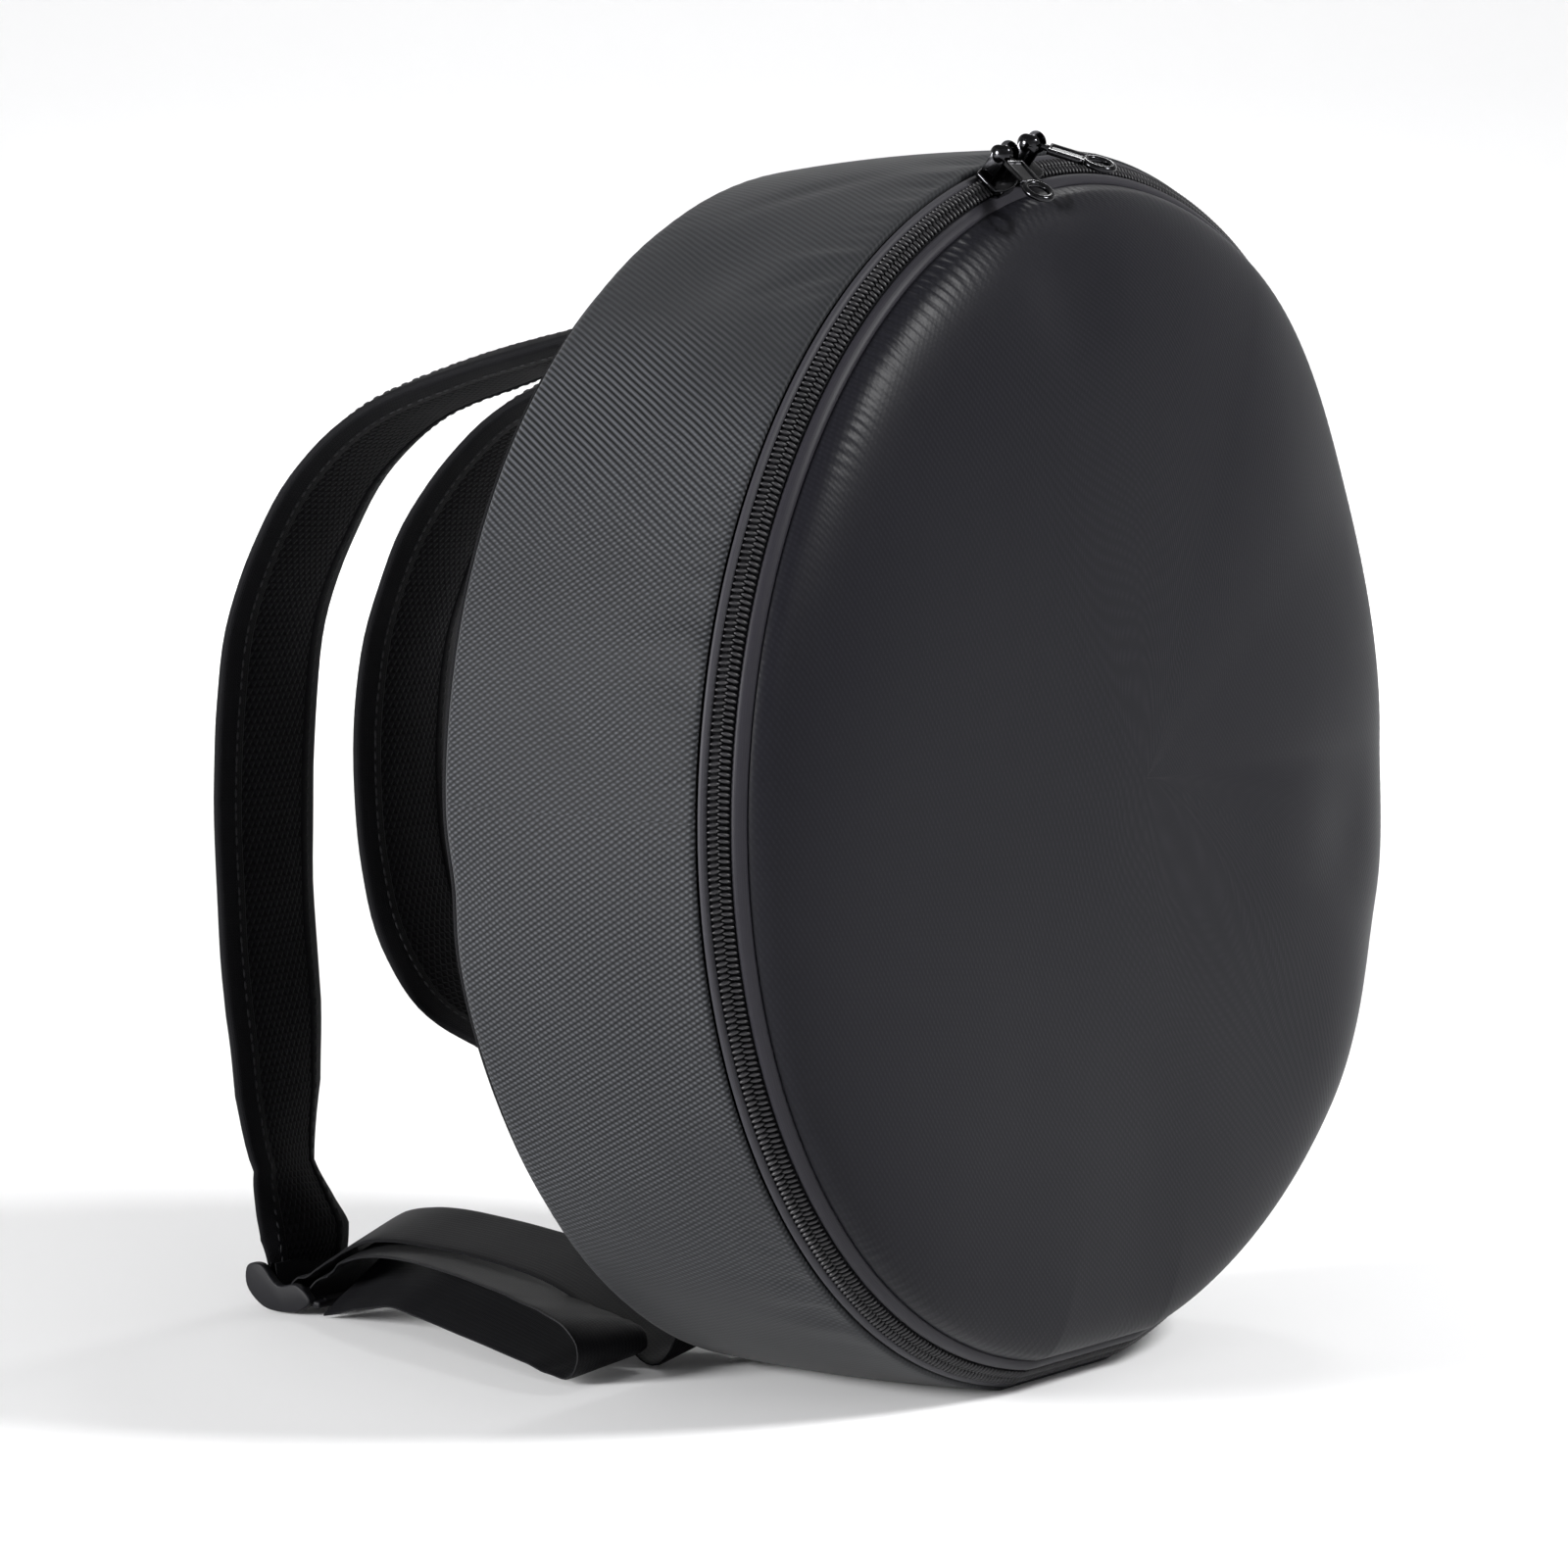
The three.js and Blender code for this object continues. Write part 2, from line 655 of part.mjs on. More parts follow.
// A slider in its own frame: X along the zip, Z off the band, -Y towards the front panel
function makeSlider() {
  const half = slider.length / 2;
  const halfWidth = slider.width / 2;
  const halfEnd = slider.endWidth / 2;
  const outline = new THREE.Shape();
  outline.moveTo(-half, -halfEnd);
  outline.quadraticCurveTo(-slider.shoulderAt, -halfWidth, 0, -halfWidth);
  outline.quadraticCurveTo(slider.shoulderAt, -halfWidth, half, -halfEnd);
  outline.lineTo(half, halfEnd);
  outline.quadraticCurveTo(slider.shoulderAt, halfWidth, 0, halfWidth);
  outline.quadraticCurveTo(-slider.shoulderAt, halfWidth, -half, halfEnd);
  outline.closePath();
  const flat = { depth: slider.plate, bevelEnabled: false, curveSegments: 5 };
  const plate = new THREE.ExtrudeGeometry(outline, flat);
  const pieces = [plate.translate(0, 0, sliderBase)];
  for (const hand of [-1, 1]) {
    const railSides = [hand * slider.railFrom, hand * (slider.railFrom - slider.rail)];
    pieces.push(boxBetween(
      new THREE.Vector3(-slider.railLength / 2, Math.min(...railSides), slider.clearance),
      new THREE.Vector3(slider.railLength / 2, Math.max(...railSides), sliderBase + slider.plate / 2)));
    const earSides = [hand * ear.inside, hand * ear.outside];
    const earFrom = Math.min(...earSides);
    const earTo = Math.max(...earSides);
    pieces.push(barAlongX(ear.radius, earFrom, earTo, ear.axisBack, pullAxis, sliderSides.ear));
    pieces.push(boxBetween(
      new THREE.Vector3(earFrom, ear.axisBack - ear.foot, plateTop - slider.plate / 2),
      new THREE.Vector3(earTo, ear.axisBack + ear.foot, pullAxis)));
  }
  const pinEnd = ear.inside + ear.pinInto;
  pieces.push(barAlongX(ear.pin, -pinEnd, pinEnd, ear.axisBack, pullAxis, sliderSides.pin));
  return union(pieces);
}

// A pull in its own frame: the pin runs along X through the origin and the pull lies along -Y
function makePull() {
  const { barWidth, barFrom, eyeWidth, eyeLength, flareFrom, flareTo, thickness, neck, hub } = pull;
  const eyeCentre = eyeLength / 2 - pull.length;
  const outline = new THREE.Shape();
  outline.moveTo(-barWidth / 2, -barFrom);
  outline.lineTo(-barWidth / 2, eyeCentre + flareFrom);
  outline.quadraticCurveTo(-eyeWidth / 2, eyeCentre + flareTo, -eyeWidth / 2, eyeCentre);
  outline.absellipse(0, eyeCentre, eyeWidth / 2, eyeLength / 2, Math.PI, 2 * Math.PI, false, 0);
  outline.quadraticCurveTo(eyeWidth / 2, eyeCentre + flareTo, barWidth / 2, eyeCentre + flareFrom);
  outline.lineTo(barWidth / 2, -barFrom);
  outline.closePath();
  const eye = new THREE.Path();
  eye.absellipse(0, eyeCentre, pull.holeWidth / 2, pull.holeLength / 2, 0, 2 * Math.PI, true, 0);
  outline.holes.push(eye);
  const flat = { depth: thickness, bevelEnabled: false, curveSegments: 8 };
  const plate = new THREE.ExtrudeGeometry(outline, flat);
  const body = union([
    plate.translate(0, 0, -thickness / 2),
    boxBetween(
      new THREE.Vector3(-neck / 2, -barFrom - thickness / 2, -thickness / 2),
      new THREE.Vector3(neck / 2, 0, thickness / 2)),
    barAlongX(hub, -neck / 2, neck / 2, 0, 0, sliderSides.hub),
  ]);
  const halfPocket = barWidth / 2 - pocket.margin;
  const recess = boxBetween(
    new THREE.Vector3(-halfPocket, eyeCentre + pocket.aboveEye, thickness / 2 - pocket.depth),
    new THREE.Vector3(halfPocket, -barFrom - pocket.belowBar, thickness / 2 + pocket.depth));
  return subtract(body, [barAlongX(pull.pinHole, -neck, neck, 0, 0, sliderSides.pinHole), recess]);
}

// Finishes
const finishes = {
  oxford: { color: 0x34363a, roughness: 0.8, metalness: 0 },
  panelCloth: { color: 0x2b2c33, roughness: 0.72, metalness: 0 },
  backMesh: { color: 0x1b1c1f, roughness: 0.92, metalness: 0 },
  zipTape: { color: 0x2a2b2f, roughness: 0.7, metalness: 0 },
  zipCoil: { color: 0x26272a, roughness: 0.45, metalness: 0 },
  strapCloth: { color: 0x17181a, roughness: 0.9, metalness: 0 },
  webbing: { color: 0x1f2024, roughness: 0.75, metalness: 0 },
  buckle: { color: 0x3a3b42, roughness: 0.45, metalness: 0 },
  gunmetal: { color: 0x3b3c40, roughness: 0.22, metalness: 1 },
};

function piece(name, geometry, finish) {
  const mesh = new THREE.Mesh(geometry, new THREE.MeshStandardMaterial(finishes[finish]));
  mesh.name = name;
  return mesh;
}

// Assembly
const part = new THREE.Group();
const fromFrontSeam = new THREE.Group();
fromFrontSeam.position.set(0, -gussetDepth / 2, 0);
part.add(fromFrontSeam);

const bag = new THREE.Group();
bag.position.set(0, 0, axisHeight);
bag.add(piece('gusset', makeGusset(), 'oxford'));
bag.add(piece('front_panel', makeFrontPanel(), 'panelCloth'));
bag.add(piece('back_panel', makeBackPanel(), 'backMesh'));
bag.add(piece('zip_tape_outer', bandRing(outerTape, -tapeThickness, 0), 'zipTape'));
bag.add(piece('zip_tape_inner', bandRing(innerTape, -tapeThickness, 0), 'zipTape'));
bag.add(piece('zip_coil', bandRing(coil, -coil.sunk, coil.height), 'zipCoil'));
fromFrontSeam.add(bag);

function addSlider(name, place) {
  const middle = onBand((coil.from + coil.to) / 2, 0);
  const turn = radians(place.angle);
  const outward = new THREE.Vector3(Math.cos(turn), 0, Math.sin(turn));
  const at = outward.clone().multiplyScalar(middle.r).setY(middle.y);
  settle(at);
  const lifted = onBand(0, 1);
  const seam = onBand(0, 0);
  const up = outward.clone().multiplyScalar(lifted.r - seam.r).setY(lifted.y - seam.y).normalize();
  const alongZip = new THREE.Vector3(Math.sin(turn), 0, -Math.cos(turn));
  const frame = new THREE.Matrix4().makeBasis(alongZip, up.clone().cross(alongZip), up);
  const group = new THREE.Group();
  group.position.copy(at);
  group.quaternion.setFromRotationMatrix(frame);
  group.add(piece(`slider_${name}`, makeSlider(), 'gunmetal'));
  const hinge = new THREE.Group();
  hinge.position.set(0, ear.axisBack, pullAxis);
  hinge.rotation.set(radians(-place.lift), 0, radians(place.yaw), 'XYZ');
  hinge.add(piece(`pull_${name}`, makePull(), 'gunmetal'));
  group.add(hinge);
  bag.add(group);
}
addSlider('left', leftSlider);
addSlider('right', rightSlider);

function addStrapSet(name, x, strapRows, at, toBuckle, tail) {
  fromFrontSeam.add(piece(`strap_${name}`, makeStrap(strapRows, x), 'strapCloth'));
  fromFrontSeam.add(piece(`strap_tab_${name}`, makeTab(at, strapRows), 'webbing'));
  fromFrontSeam.add(piece(`webbing_${name}`, makeWebbing(toBuckle, at, tail), 'webbing'));
  const lock = piece(`buckle_${name}`, makeBuckle(), 'buckle');
  lock.position.set(at.x, at.y, at.z);
  lock.rotation.x = radians(at.tilt);
  fromFrontSeam.add(lock);
}
addStrapSet('near', -strapCentre, nearStrapRows, nearBuckle, nearWebbingToBuckle, nearWebbingTail);
addStrapSet('far', strapCentre, farStrapRows, farBuckle, farWebbingToBuckle, farWebbingTail);

export default part;
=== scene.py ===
import math

import bmesh
import bpy
import numpy as np
from mathutils import Matrix, Vector, noise


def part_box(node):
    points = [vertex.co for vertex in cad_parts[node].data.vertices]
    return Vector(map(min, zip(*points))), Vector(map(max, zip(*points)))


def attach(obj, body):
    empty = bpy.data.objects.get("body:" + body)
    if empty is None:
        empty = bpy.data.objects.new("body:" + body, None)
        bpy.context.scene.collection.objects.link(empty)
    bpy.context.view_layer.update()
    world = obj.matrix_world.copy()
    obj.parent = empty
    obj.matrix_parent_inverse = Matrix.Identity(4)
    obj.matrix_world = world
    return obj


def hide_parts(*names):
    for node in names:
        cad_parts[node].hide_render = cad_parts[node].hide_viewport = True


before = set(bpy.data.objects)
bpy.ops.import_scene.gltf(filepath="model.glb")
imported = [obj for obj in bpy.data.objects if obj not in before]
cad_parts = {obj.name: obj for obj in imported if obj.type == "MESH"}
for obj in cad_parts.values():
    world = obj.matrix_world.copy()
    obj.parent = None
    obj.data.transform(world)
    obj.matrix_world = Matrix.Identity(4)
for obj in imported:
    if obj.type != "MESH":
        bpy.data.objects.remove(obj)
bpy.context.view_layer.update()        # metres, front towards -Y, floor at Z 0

scene = bpy.context.scene


# Helpers for rows of numbers, objects and turned meshes

weldDistance = 1e-7
leastLength = 1e-9  # keeps a division from meeting zero


def table(columns, *rows):  # each row as a dictionary with the columns' names
    return [dict(zip(columns.split(), row)) for row in rows]


def addObject(name, data):
    made = bpy.data.objects.new(name, data)
    scene.collection.objects.link(made)
    return made


def aimAlong(holder, way):  # a camera or a lamp looks along its own -Z
    holder.rotation_euler = Vector(way).to_track_quat("-Z", "Y").to_euler()


def smoothMesh(name, bm):
    mesh = bpy.data.meshes.new(name)
    bm.to_mesh(mesh)
    bm.free()
    mesh.polygons.foreach_set("use_smooth", [True] * len(mesh.polygons))
    return mesh


def chain(bm, verts, close=False):  # an edge from each vertex to the next
    pairs = list(zip(verts, verts[1:])) + ([(verts[-1], verts[0])] if close else [])
    return [bm.edges.new(pair) for pair in pairs]


def spinRound(bm, geom, centre, axis, steps, weld=weldDistance):  # a full turn, closed on itself
    bmesh.ops.spin(bm, geom=geom, cent=centre, axis=axis, angle=2 * math.pi, steps=steps, use_merge=True)
    bmesh.ops.remove_doubles(bm, verts=bm.verts, dist=weld)


# Camera at the photo's place, looking a little down at the bag's left front

camera = dict(
    place=(-1.62287, -1.09528, 0.38337),
    look=(0.8113, 0.5764, -0.0979),
    lens=137.69,
    sensor=36.0,
)


def addCamera():
    lens = bpy.data.cameras.new("camera")
    lens.lens = camera["lens"]
    lens.sensor_width = camera["sensor"]
    holder = addObject("camera", lens)
    holder.location = camera["place"]
    aimAlong(holder, camera["look"])
    scene.camera = holder


# Studio: a pale bowl as floor and backdrop, and soft area lights

studio = dict(
    floorRadius=5.0,
    wallRadius=9.0,
    wallHeight=6.0,
    floorColor=(0.95, 0.95, 0.955),
    floorRoughness=0.9,
    worldColor=(1.0, 1.0, 1.0),
    worldStrength=0.3,
    steps=96,
    bendStep=15,
    weld=1e-5,
)
lights = [
    dict(name="keyLight", place=(-2.0, 1.1, 0.6), aim=(-0.1, 0, 0.22), size=0.8, energy=85),
    dict(name="fillLight", place=(-1.3, -2.2, 1.3), aim=(0, 0, 0.2), size=1.0, energy=4),
    dict(name="topLight", place=(0.35, -1.72, 1.73), aim=(-0.09, -0.07, 0.34), size=0.5, energy=54),
    dict(name="rimLight", place=(1.33, 0.44, 1.77), aim=(-0.03, -0.06, 0.39), size=0.25, energy=3.5),
    dict(name="backdropLight", place=(2.5, 1.9, 2.6), aim=(4.2, 3.1, 0), size=1.6, energy=140),
]


def addStudio():
    bm = bmesh.new()
    reach = studio["wallRadius"] - studio["floorRadius"]
    rows = [(0, 0), (studio["floorRadius"], 0)]
    for bend in range(studio["bendStep"], 90 + studio["bendStep"], studio["bendStep"]):
        turn = math.radians(bend)
        rows.append((studio["floorRadius"] + reach * math.sin(turn), reach * (1 - math.cos(turn))))
    rows.append((studio["wallRadius"], studio["wallHeight"]))
    verts = [bm.verts.new((radius, 0, height)) for radius, height in rows]
    spinRound(bm, verts + chain(bm, verts), (0, 0, 0), (0, 0, 1), studio["steps"], studio["weld"])
    mesh = smoothMesh("floor", bm)
    paint = bpy.data.materials.new("floorPaint")
    paint.use_nodes = True
    shader = paint.node_tree.nodes["Principled BSDF"]
    shader.inputs["Base Color"].default_value = (*studio["floorColor"], 1)
    shader.inputs["Roughness"].default_value = studio["floorRoughness"]
    mesh.materials.append(paint)
    floor = addObject("floor", mesh)

    world = bpy.data.worlds.new("studioWorld")
    world.use_nodes = True
    sky = world.node_tree.nodes["Background"]
    sky.inputs["Color"].default_value = (*studio["worldColor"], 1)
    sky.inputs["Strength"].default_value = studio["worldStrength"]
    scene.world = world
    for row in lights:
        lamp = bpy.data.lights.new(row["name"], "AREA")
        lamp.shape = "DISK"
        lamp.size = row["size"]
        lamp.energy = row["energy"]
        holder = addObject(row["name"], lamp)
        holder.location = row["place"]
        aimAlong(holder, Vector(row["aim"]) - Vector(row["place"]))
    scene.view_settings.view_transform = "Standard"


addCamera()
addStudio()
print("camera and studio set")


# Shader node groups

def newGroup(name, inputs, outputs):  # takes a vector and plain numbers, gives plain numbers
    tree = bpy.data.node_groups.new(name, "ShaderNodeTree")
    tree.interface.new_socket(name="Vector", in_out="INPUT", socket_type="NodeSocketVector")
    for labels, way in ((inputs, "INPUT"), (outputs, "OUTPUT")):
        for label in labels.split():
            tree.interface.new_socket(name=label, in_out=way, socket_type="NodeSocketFloat")
    return tree, tree.nodes.new("NodeGroupInput").outputs, tree.nodes.new("NodeGroupOutput").inputs


def feed(tree, socket, value):  # a socket takes a link, or a plain value
    if isinstance(value, bpy.types.NodeSocket):
        tree.links.new(value, socket)
    else:
        socket.default_value = value


def calc(tree, operation, first, second=0.0, clamp=False):
    node = tree.nodes.new("ShaderNodeMath")
    node.operation = operation
    node.use_clamp = clamp
    feed(tree, node.inputs[0], first)
    feed(tree, node.inputs[1], second)
    return node.outputs[0]


def oneLess(tree, value):
    return calc(tree, "SUBTRACT", 1.0, value)


def partsOf(tree, vector):  # sockets of x, y and z
    node = tree.nodes.new("ShaderNodeSeparateXYZ")
    feed(tree, node.inputs[0], vector)
    return node.outputs


def wave(tree, phase):  # 0 to 1 and back over each whole number of phase
    sine = calc(tree, "SINE", calc(tree, "MULTIPLY", phase, 2 * math.pi))
    return calc(tree, "MULTIPLY", calc(tree, "ADD", sine, 1.0), 0.5)


def cloud(tree, vector, scale, detail=2.0):
    node = tree.nodes.new("ShaderNodeTexNoise")
    node.inputs["Scale"].default_value = scale
    node.inputs["Detail"].default_value = detail
    feed(tree, node.inputs["Vector"], vector)
    return node.outputs[0]


def blendColor(tree, factor, first, second):
    node = tree.nodes.new("ShaderNodeMix")
    node.data_type = "RGBA"
    feed(tree, node.inputs[0], factor)
    feed(tree, node.inputs[6], first)
    feed(tree, node.inputs[7], second)
    return node.outputs[2]


def slantedPhase(tree, vector, turn, pitch):  # counts ribs of a pitch across a turned pattern
    turned = tree.nodes.new("ShaderNodeVectorRotate")
    turned.rotation_type = "Z_AXIS"
    feed(tree, turned.inputs["Vector"], vector)
    feed(tree, turned.inputs["Angle"], turn)
    return calc(tree, "DIVIDE", partsOf(tree, turned.outputs[0])[0], pitch)


twill = dict(driftScale=16.0, drift=1.2, crestPower=1.3)
honeycomb = dict(bearings=(0, 60, 120), holeFrom=1.25, holeRun=0.9)
herringbone = dict(ribShare=0.45, threadShare=0.55)
mottle = dict(grainScale=2600.0, patchScale=90.0, detail=3.0)


def twillGroup():  # slanted ribs, broken into dots by crossing threads where the cloth lies slack
    tree, given, out = newGroup("twillWeave", "Turn Rib CrossTurn Cross Slack Ease", "Height Ribs")
    vector = given["Vector"]
    drift = calc(tree, "MULTIPLY", cloud(tree, vector, twill["driftScale"]), twill["drift"])
    ribPhase = slantedPhase(tree, vector, given["Turn"], given["Rib"])
    rib = wave(tree, calc(tree, "ADD", ribPhase, drift))
    crossPhase = slantedPhase(tree, vector, given["CrossTurn"], given["Cross"])
    gap = oneLess(tree, wave(tree, calc(tree, "ADD", crossPhase, drift)))
    worn = oneLess(tree, calc(tree, "MULTIPLY", gap, given["Slack"]))
    ease = calc(tree, "MULTIPLY", given["Slack"], given["Ease"])
    depth = oneLess(tree, ease)  # how deep the ribs stay where the cloth lies slack
    valley = calc(tree, "MULTIPLY", oneLess(tree, rib), depth)
    woven = calc(tree, "MULTIPLY", oneLess(tree, valley), worn)
    feed(tree, out["Height"], woven)
    feed(tree, out["Ribs"], calc(tree, "POWER", woven, twill["crestPower"]))
    return tree


def meshGroup():  # a honeycomb of small holes, from three waves at 60 degrees
    tree, given, out = newGroup("spacerMesh", "Cell", "Height Threads")
    parts = partsOf(tree, given["Vector"])
    total = None
    for bearing in honeycomb["bearings"]:
        turn = math.radians(bearing)
        across = calc(tree, "MULTIPLY", parts[0], math.cos(turn))
        along = calc(tree, "MULTIPLY", parts[1], math.sin(turn))
        phase = calc(tree, "DIVIDE", calc(tree, "ADD", across, along), given["Cell"])
        ridge = wave(tree, phase)
        total = ridge if total is None else calc(tree, "ADD", total, ridge)
    over = calc(tree, "SUBTRACT", total, honeycomb["holeFrom"])
    hole = calc(tree, "DIVIDE", over, honeycomb["holeRun"], clamp=True)
    threads = oneLess(tree, hole)
    feed(tree, out["Height"], threads)
    feed(tree, out["Threads"], threads)
    return tree


def webGroup():  # fine lengthwise ribs with a herringbone of threads across them
    tree, given, out = newGroup("webWeave", "Rib Thread", "Height Ribs")
    parts = partsOf(tree, given["Vector"])
    ribPhase = calc(tree, "DIVIDE", parts[1], given["Rib"])
    slant = calc(tree, "PINGPONG", ribPhase, 1.0)
    thread = wave(tree, calc(tree, "ADD", calc(tree, "DIVIDE", parts[0], given["Thread"]), slant))
    rib = wave(tree, ribPhase)
    ribPart = calc(tree, "MULTIPLY", rib, herringbone["ribShare"])
    mixed = calc(tree, "ADD", ribPart, calc(tree, "MULTIPLY", thread, herringbone["threadShare"]))
    feed(tree, out["Height"], mixed)
    feed(tree, out["Ribs"], mixed)
    return tree


def grainGroup():  # fine mottle of moulded plastic and cast metal
    tree, given, out = newGroup("fineGrain", "Low High", "Height Roughness Patches")
    grain = cloud(tree, given["Vector"], mottle["grainScale"], mottle["detail"])
    patches = cloud(tree, given["Vector"], mottle["patchScale"], mottle["detail"])
    span = calc(tree, "SUBTRACT", given["High"], given["Low"])
    feed(tree, out["Height"], grain)
    above = calc(tree, "MULTIPLY", patches, span)
    feed(tree, out["Roughness"], calc(tree, "ADD", given["Low"], above))
    feed(tree, out["Patches"], patches)
    return tree


groups = dict(twill=twillGroup(), mesh=meshGroup(), web=webGroup(), grain=grainGroup())
print("node groups:", ", ".join(groups))


# Materials. Each finish is one row; dark and light are the valleys and the crests of its weave.

finishes = {
    "oxfordCloth": dict(
        weave="twill", values=dict(Turn=-0.587, Rib=0.00182, CrossTurn=0.53, Cross=0.0017, Ease=0.5),
        slack=(0.315, 0.06),
        fadeAbove=(0.315, -0.035), fadeBelow=(0.1, 0.05), meanShare=0.21,
        dark=(0.002, 0.0022, 0.0026), light=(0.066, 0.0687, 0.076), patches=0.2, roughness=0.56,
        specular=0.1, sheen=0.03, bump=0.0004, strength=0.8),
    "panelCloth": dict(
        weave="twill", values=dict(Turn=-0.7, Rib=0.0017, CrossTurn=0.5, Cross=0.0019, Slack=0.6),
        dark=(0.0068, 0.0068, 0.0091), light=(0.0102, 0.0102, 0.0134), patches=0.25, roughness=0.41,
        specular=0.105, sheen=0.0, bump=0.00006, strength=0.5),
    "backMesh": dict(
        weave="mesh", values=dict(Cell=0.0034), dark=(0.002, 0.002, 0.0025), light=(0.013, 0.013, 0.0155),
        patches=0.2, roughness=0.85, specular=0.15, sheen=0.06, bump=0.0007, strength=0.9),
    "strapMesh": dict(
        weave="mesh", values=dict(Cell=0.0026), dark=(0.001, 0.001, 0.0013), light=(0.005, 0.005, 0.0062),
        patches=0.2, roughness=0.85, specular=0.08, sheen=0.02, bump=0.0005, strength=0.9),
    "strapCloth": dict(
        weave="twill", values=dict(Turn=0.8, Rib=0.0013, CrossTurn=-0.6, Cross=0.0014, Slack=0.6),
        dark=(0.003, 0.003, 0.0035), light=(0.014, 0.014, 0.016), patches=0.2, roughness=0.6,
        specular=0.15, sheen=0.03, bump=0.00018, strength=0.6),
    "bindingTape": dict(
        weave="web", values=dict(Rib=0.0008, Thread=0.0012), dark=(0.002, 0.002, 0.0025),
        light=(0.0055, 0.0055, 0.0068), patches=0.2, roughness=0.7, specular=0.08, sheen=0.01,
        bump=0.00016, strength=0.7),
    "zipTape": dict(
        weave="web", values=dict(Rib=0.0007, Thread=0.0007), dark=(0.02, 0.0195, 0.0235),
        light=(0.034, 0.033, 0.0395), patches=0.2, roughness=0.55, specular=0.2, sheen=0.03,
        bump=0.00005, strength=0.4),
    "zipRoll": dict(
        weave="web", values=dict(Rib=0.0007, Thread=0.0007), dark=(0.012, 0.0115, 0.0148),
        light=(0.021, 0.02, 0.0255), patches=0.2, roughness=0.5, specular=0.16, sheen=0.02,
        bump=0.00005, strength=0.4),
    "webbing": dict(
        weave="web", values=dict(Rib=0.0019, Thread=0.001), dark=(0.0028, 0.0028, 0.0034),
        light=(0.0062, 0.0062, 0.0075), patches=0.2, roughness=0.55, specular=0.11, sheen=0.01,
        bump=0.00012, strength=0.5),
}
solidFinishes = {
    "coilNylon": dict(
        low=0.32, high=0.48, dark=(0.008, 0.008, 0.009), light=(0.022, 0.021, 0.024),
        specular=0.4, metal=0.0, bump=0.00002),
    "thread": dict(
        low=0.5, high=0.65, dark=(0.005, 0.005, 0.006), light=(0.012, 0.012, 0.014),
        specular=0.2, metal=0.0, bump=0.00003),
    "bucklePlastic": dict(
        low=0.42, high=0.56, dark=(0.005, 0.005, 0.0062), light=(0.0085, 0.0085, 0.0104),
        specular=0.13, metal=0.0, bump=0.00003),
    "blackNickel": dict(
        low=0.1, high=0.18, dark=(0.016, 0.016, 0.0175), light=(0.042, 0.042, 0.045),
        specular=0.5, metal=1.0, bump=0.000003),
}
fadeBorder = dict(scale=9.0, stray=2.6, most=0.8)
clothPatch = dict(scale=14.0, detail=4.0, start=0.3, gain=2, roughSpan=0.16, sheenRoughness=0.45)
solidBumpStrength = 0.6


def startMaterial(name):
    material = bpy.data.materials.new(name)
    material.use_nodes = True
    tree = material.node_tree
    return material, tree, tree.nodes["Principled BSDF"], tree.nodes.new("ShaderNodeTexCoord")


def placeGroup(tree, key, vector, values):
    node = tree.nodes.new("ShaderNodeGroup")
    node.node_tree = groups[key]
    feed(tree, node.inputs["Vector"], vector)
    for label, value in values.items():
        node.inputs[label].default_value = value
    return node


def addBump(tree, shader, height, distance, strength):
    bump = tree.nodes.new("ShaderNodeBump")
    bump.inputs["Distance"].default_value = distance
    feed(tree, bump.inputs["Strength"], strength)
    feed(tree, bump.inputs["Height"], height)
    feed(tree, shader.inputs["Normal"], bump.outputs[0])


def heightMask(tree, place, start, run):  # from 0 at a height to its most a run below it
    below = calc(tree, "DIVIDE", calc(tree, "SUBTRACT", start, partsOf(tree, place)[2]), run)
    either = calc(tree, "SUBTRACT", cloud(tree, place, fadeBorder["scale"]), 0.5)
    stray = calc(tree, "MULTIPLY", either, fadeBorder["stray"])
    return calc(tree, "MULTIPLY", calc(tree, "ADD", below, stray, clamp=True), fadeBorder["most"])


def clothMaterial(name, row):
    material, tree, shader, coords = startMaterial(name)
    weave = placeGroup(tree, row["weave"], coords.outputs["UV"], row["values"])
    place = coords.outputs["Object"]
    patches = cloud(tree, place, clothPatch["scale"], clothPatch["detail"])
    woven = blendColor(tree, weave.outputs[1], (*row["dark"], 1), (*row["light"], 1))
    thick = calc(tree, "SUBTRACT", patches, clothPatch["start"], clamp=True)
    shade = calc(tree, "MULTIPLY", thick, row["patches"] * clothPatch["gain"])
    strength = row["strength"]
    if "slack" in row:
        feed(tree, weave.inputs["Slack"], heightMask(tree, place, *row["slack"]))
        above, below = heightMask(tree, place, *row["fadeAbove"]), heightMask(tree, place, *row["fadeBelow"])
        fade = calc(tree, "MAXIMUM", above, below)
        shade = calc(tree, "MAXIMUM", shade, fade)
        strength = calc(tree, "MULTIPLY", oneLess(tree, fade), strength)
    share = row.get("meanShare", 0.5)  # where the weave's mean tone lies between its valleys and crests
    mean = [a + share * (b - a) for a, b in zip(row["dark"], row["light"])]
    faded = blendColor(tree, shade, woven, (*mean, 1))
    feed(tree, shader.inputs["Base Color"], faded)
    span = clothPatch["roughSpan"]
    rough = calc(tree, "ADD", calc(tree, "MULTIPLY", patches, span), row["roughness"] - span / 2)
    feed(tree, shader.inputs["Roughness"], rough)
    shader.inputs["Specular IOR Level"].default_value = row["specular"]
    shader.inputs["Sheen Weight"].default_value = row["sheen"]
    shader.inputs["Sheen Roughness"].default_value = clothPatch["sheenRoughness"]
    addBump(tree, shader, weave.outputs["Height"], row["bump"], strength)
    return material


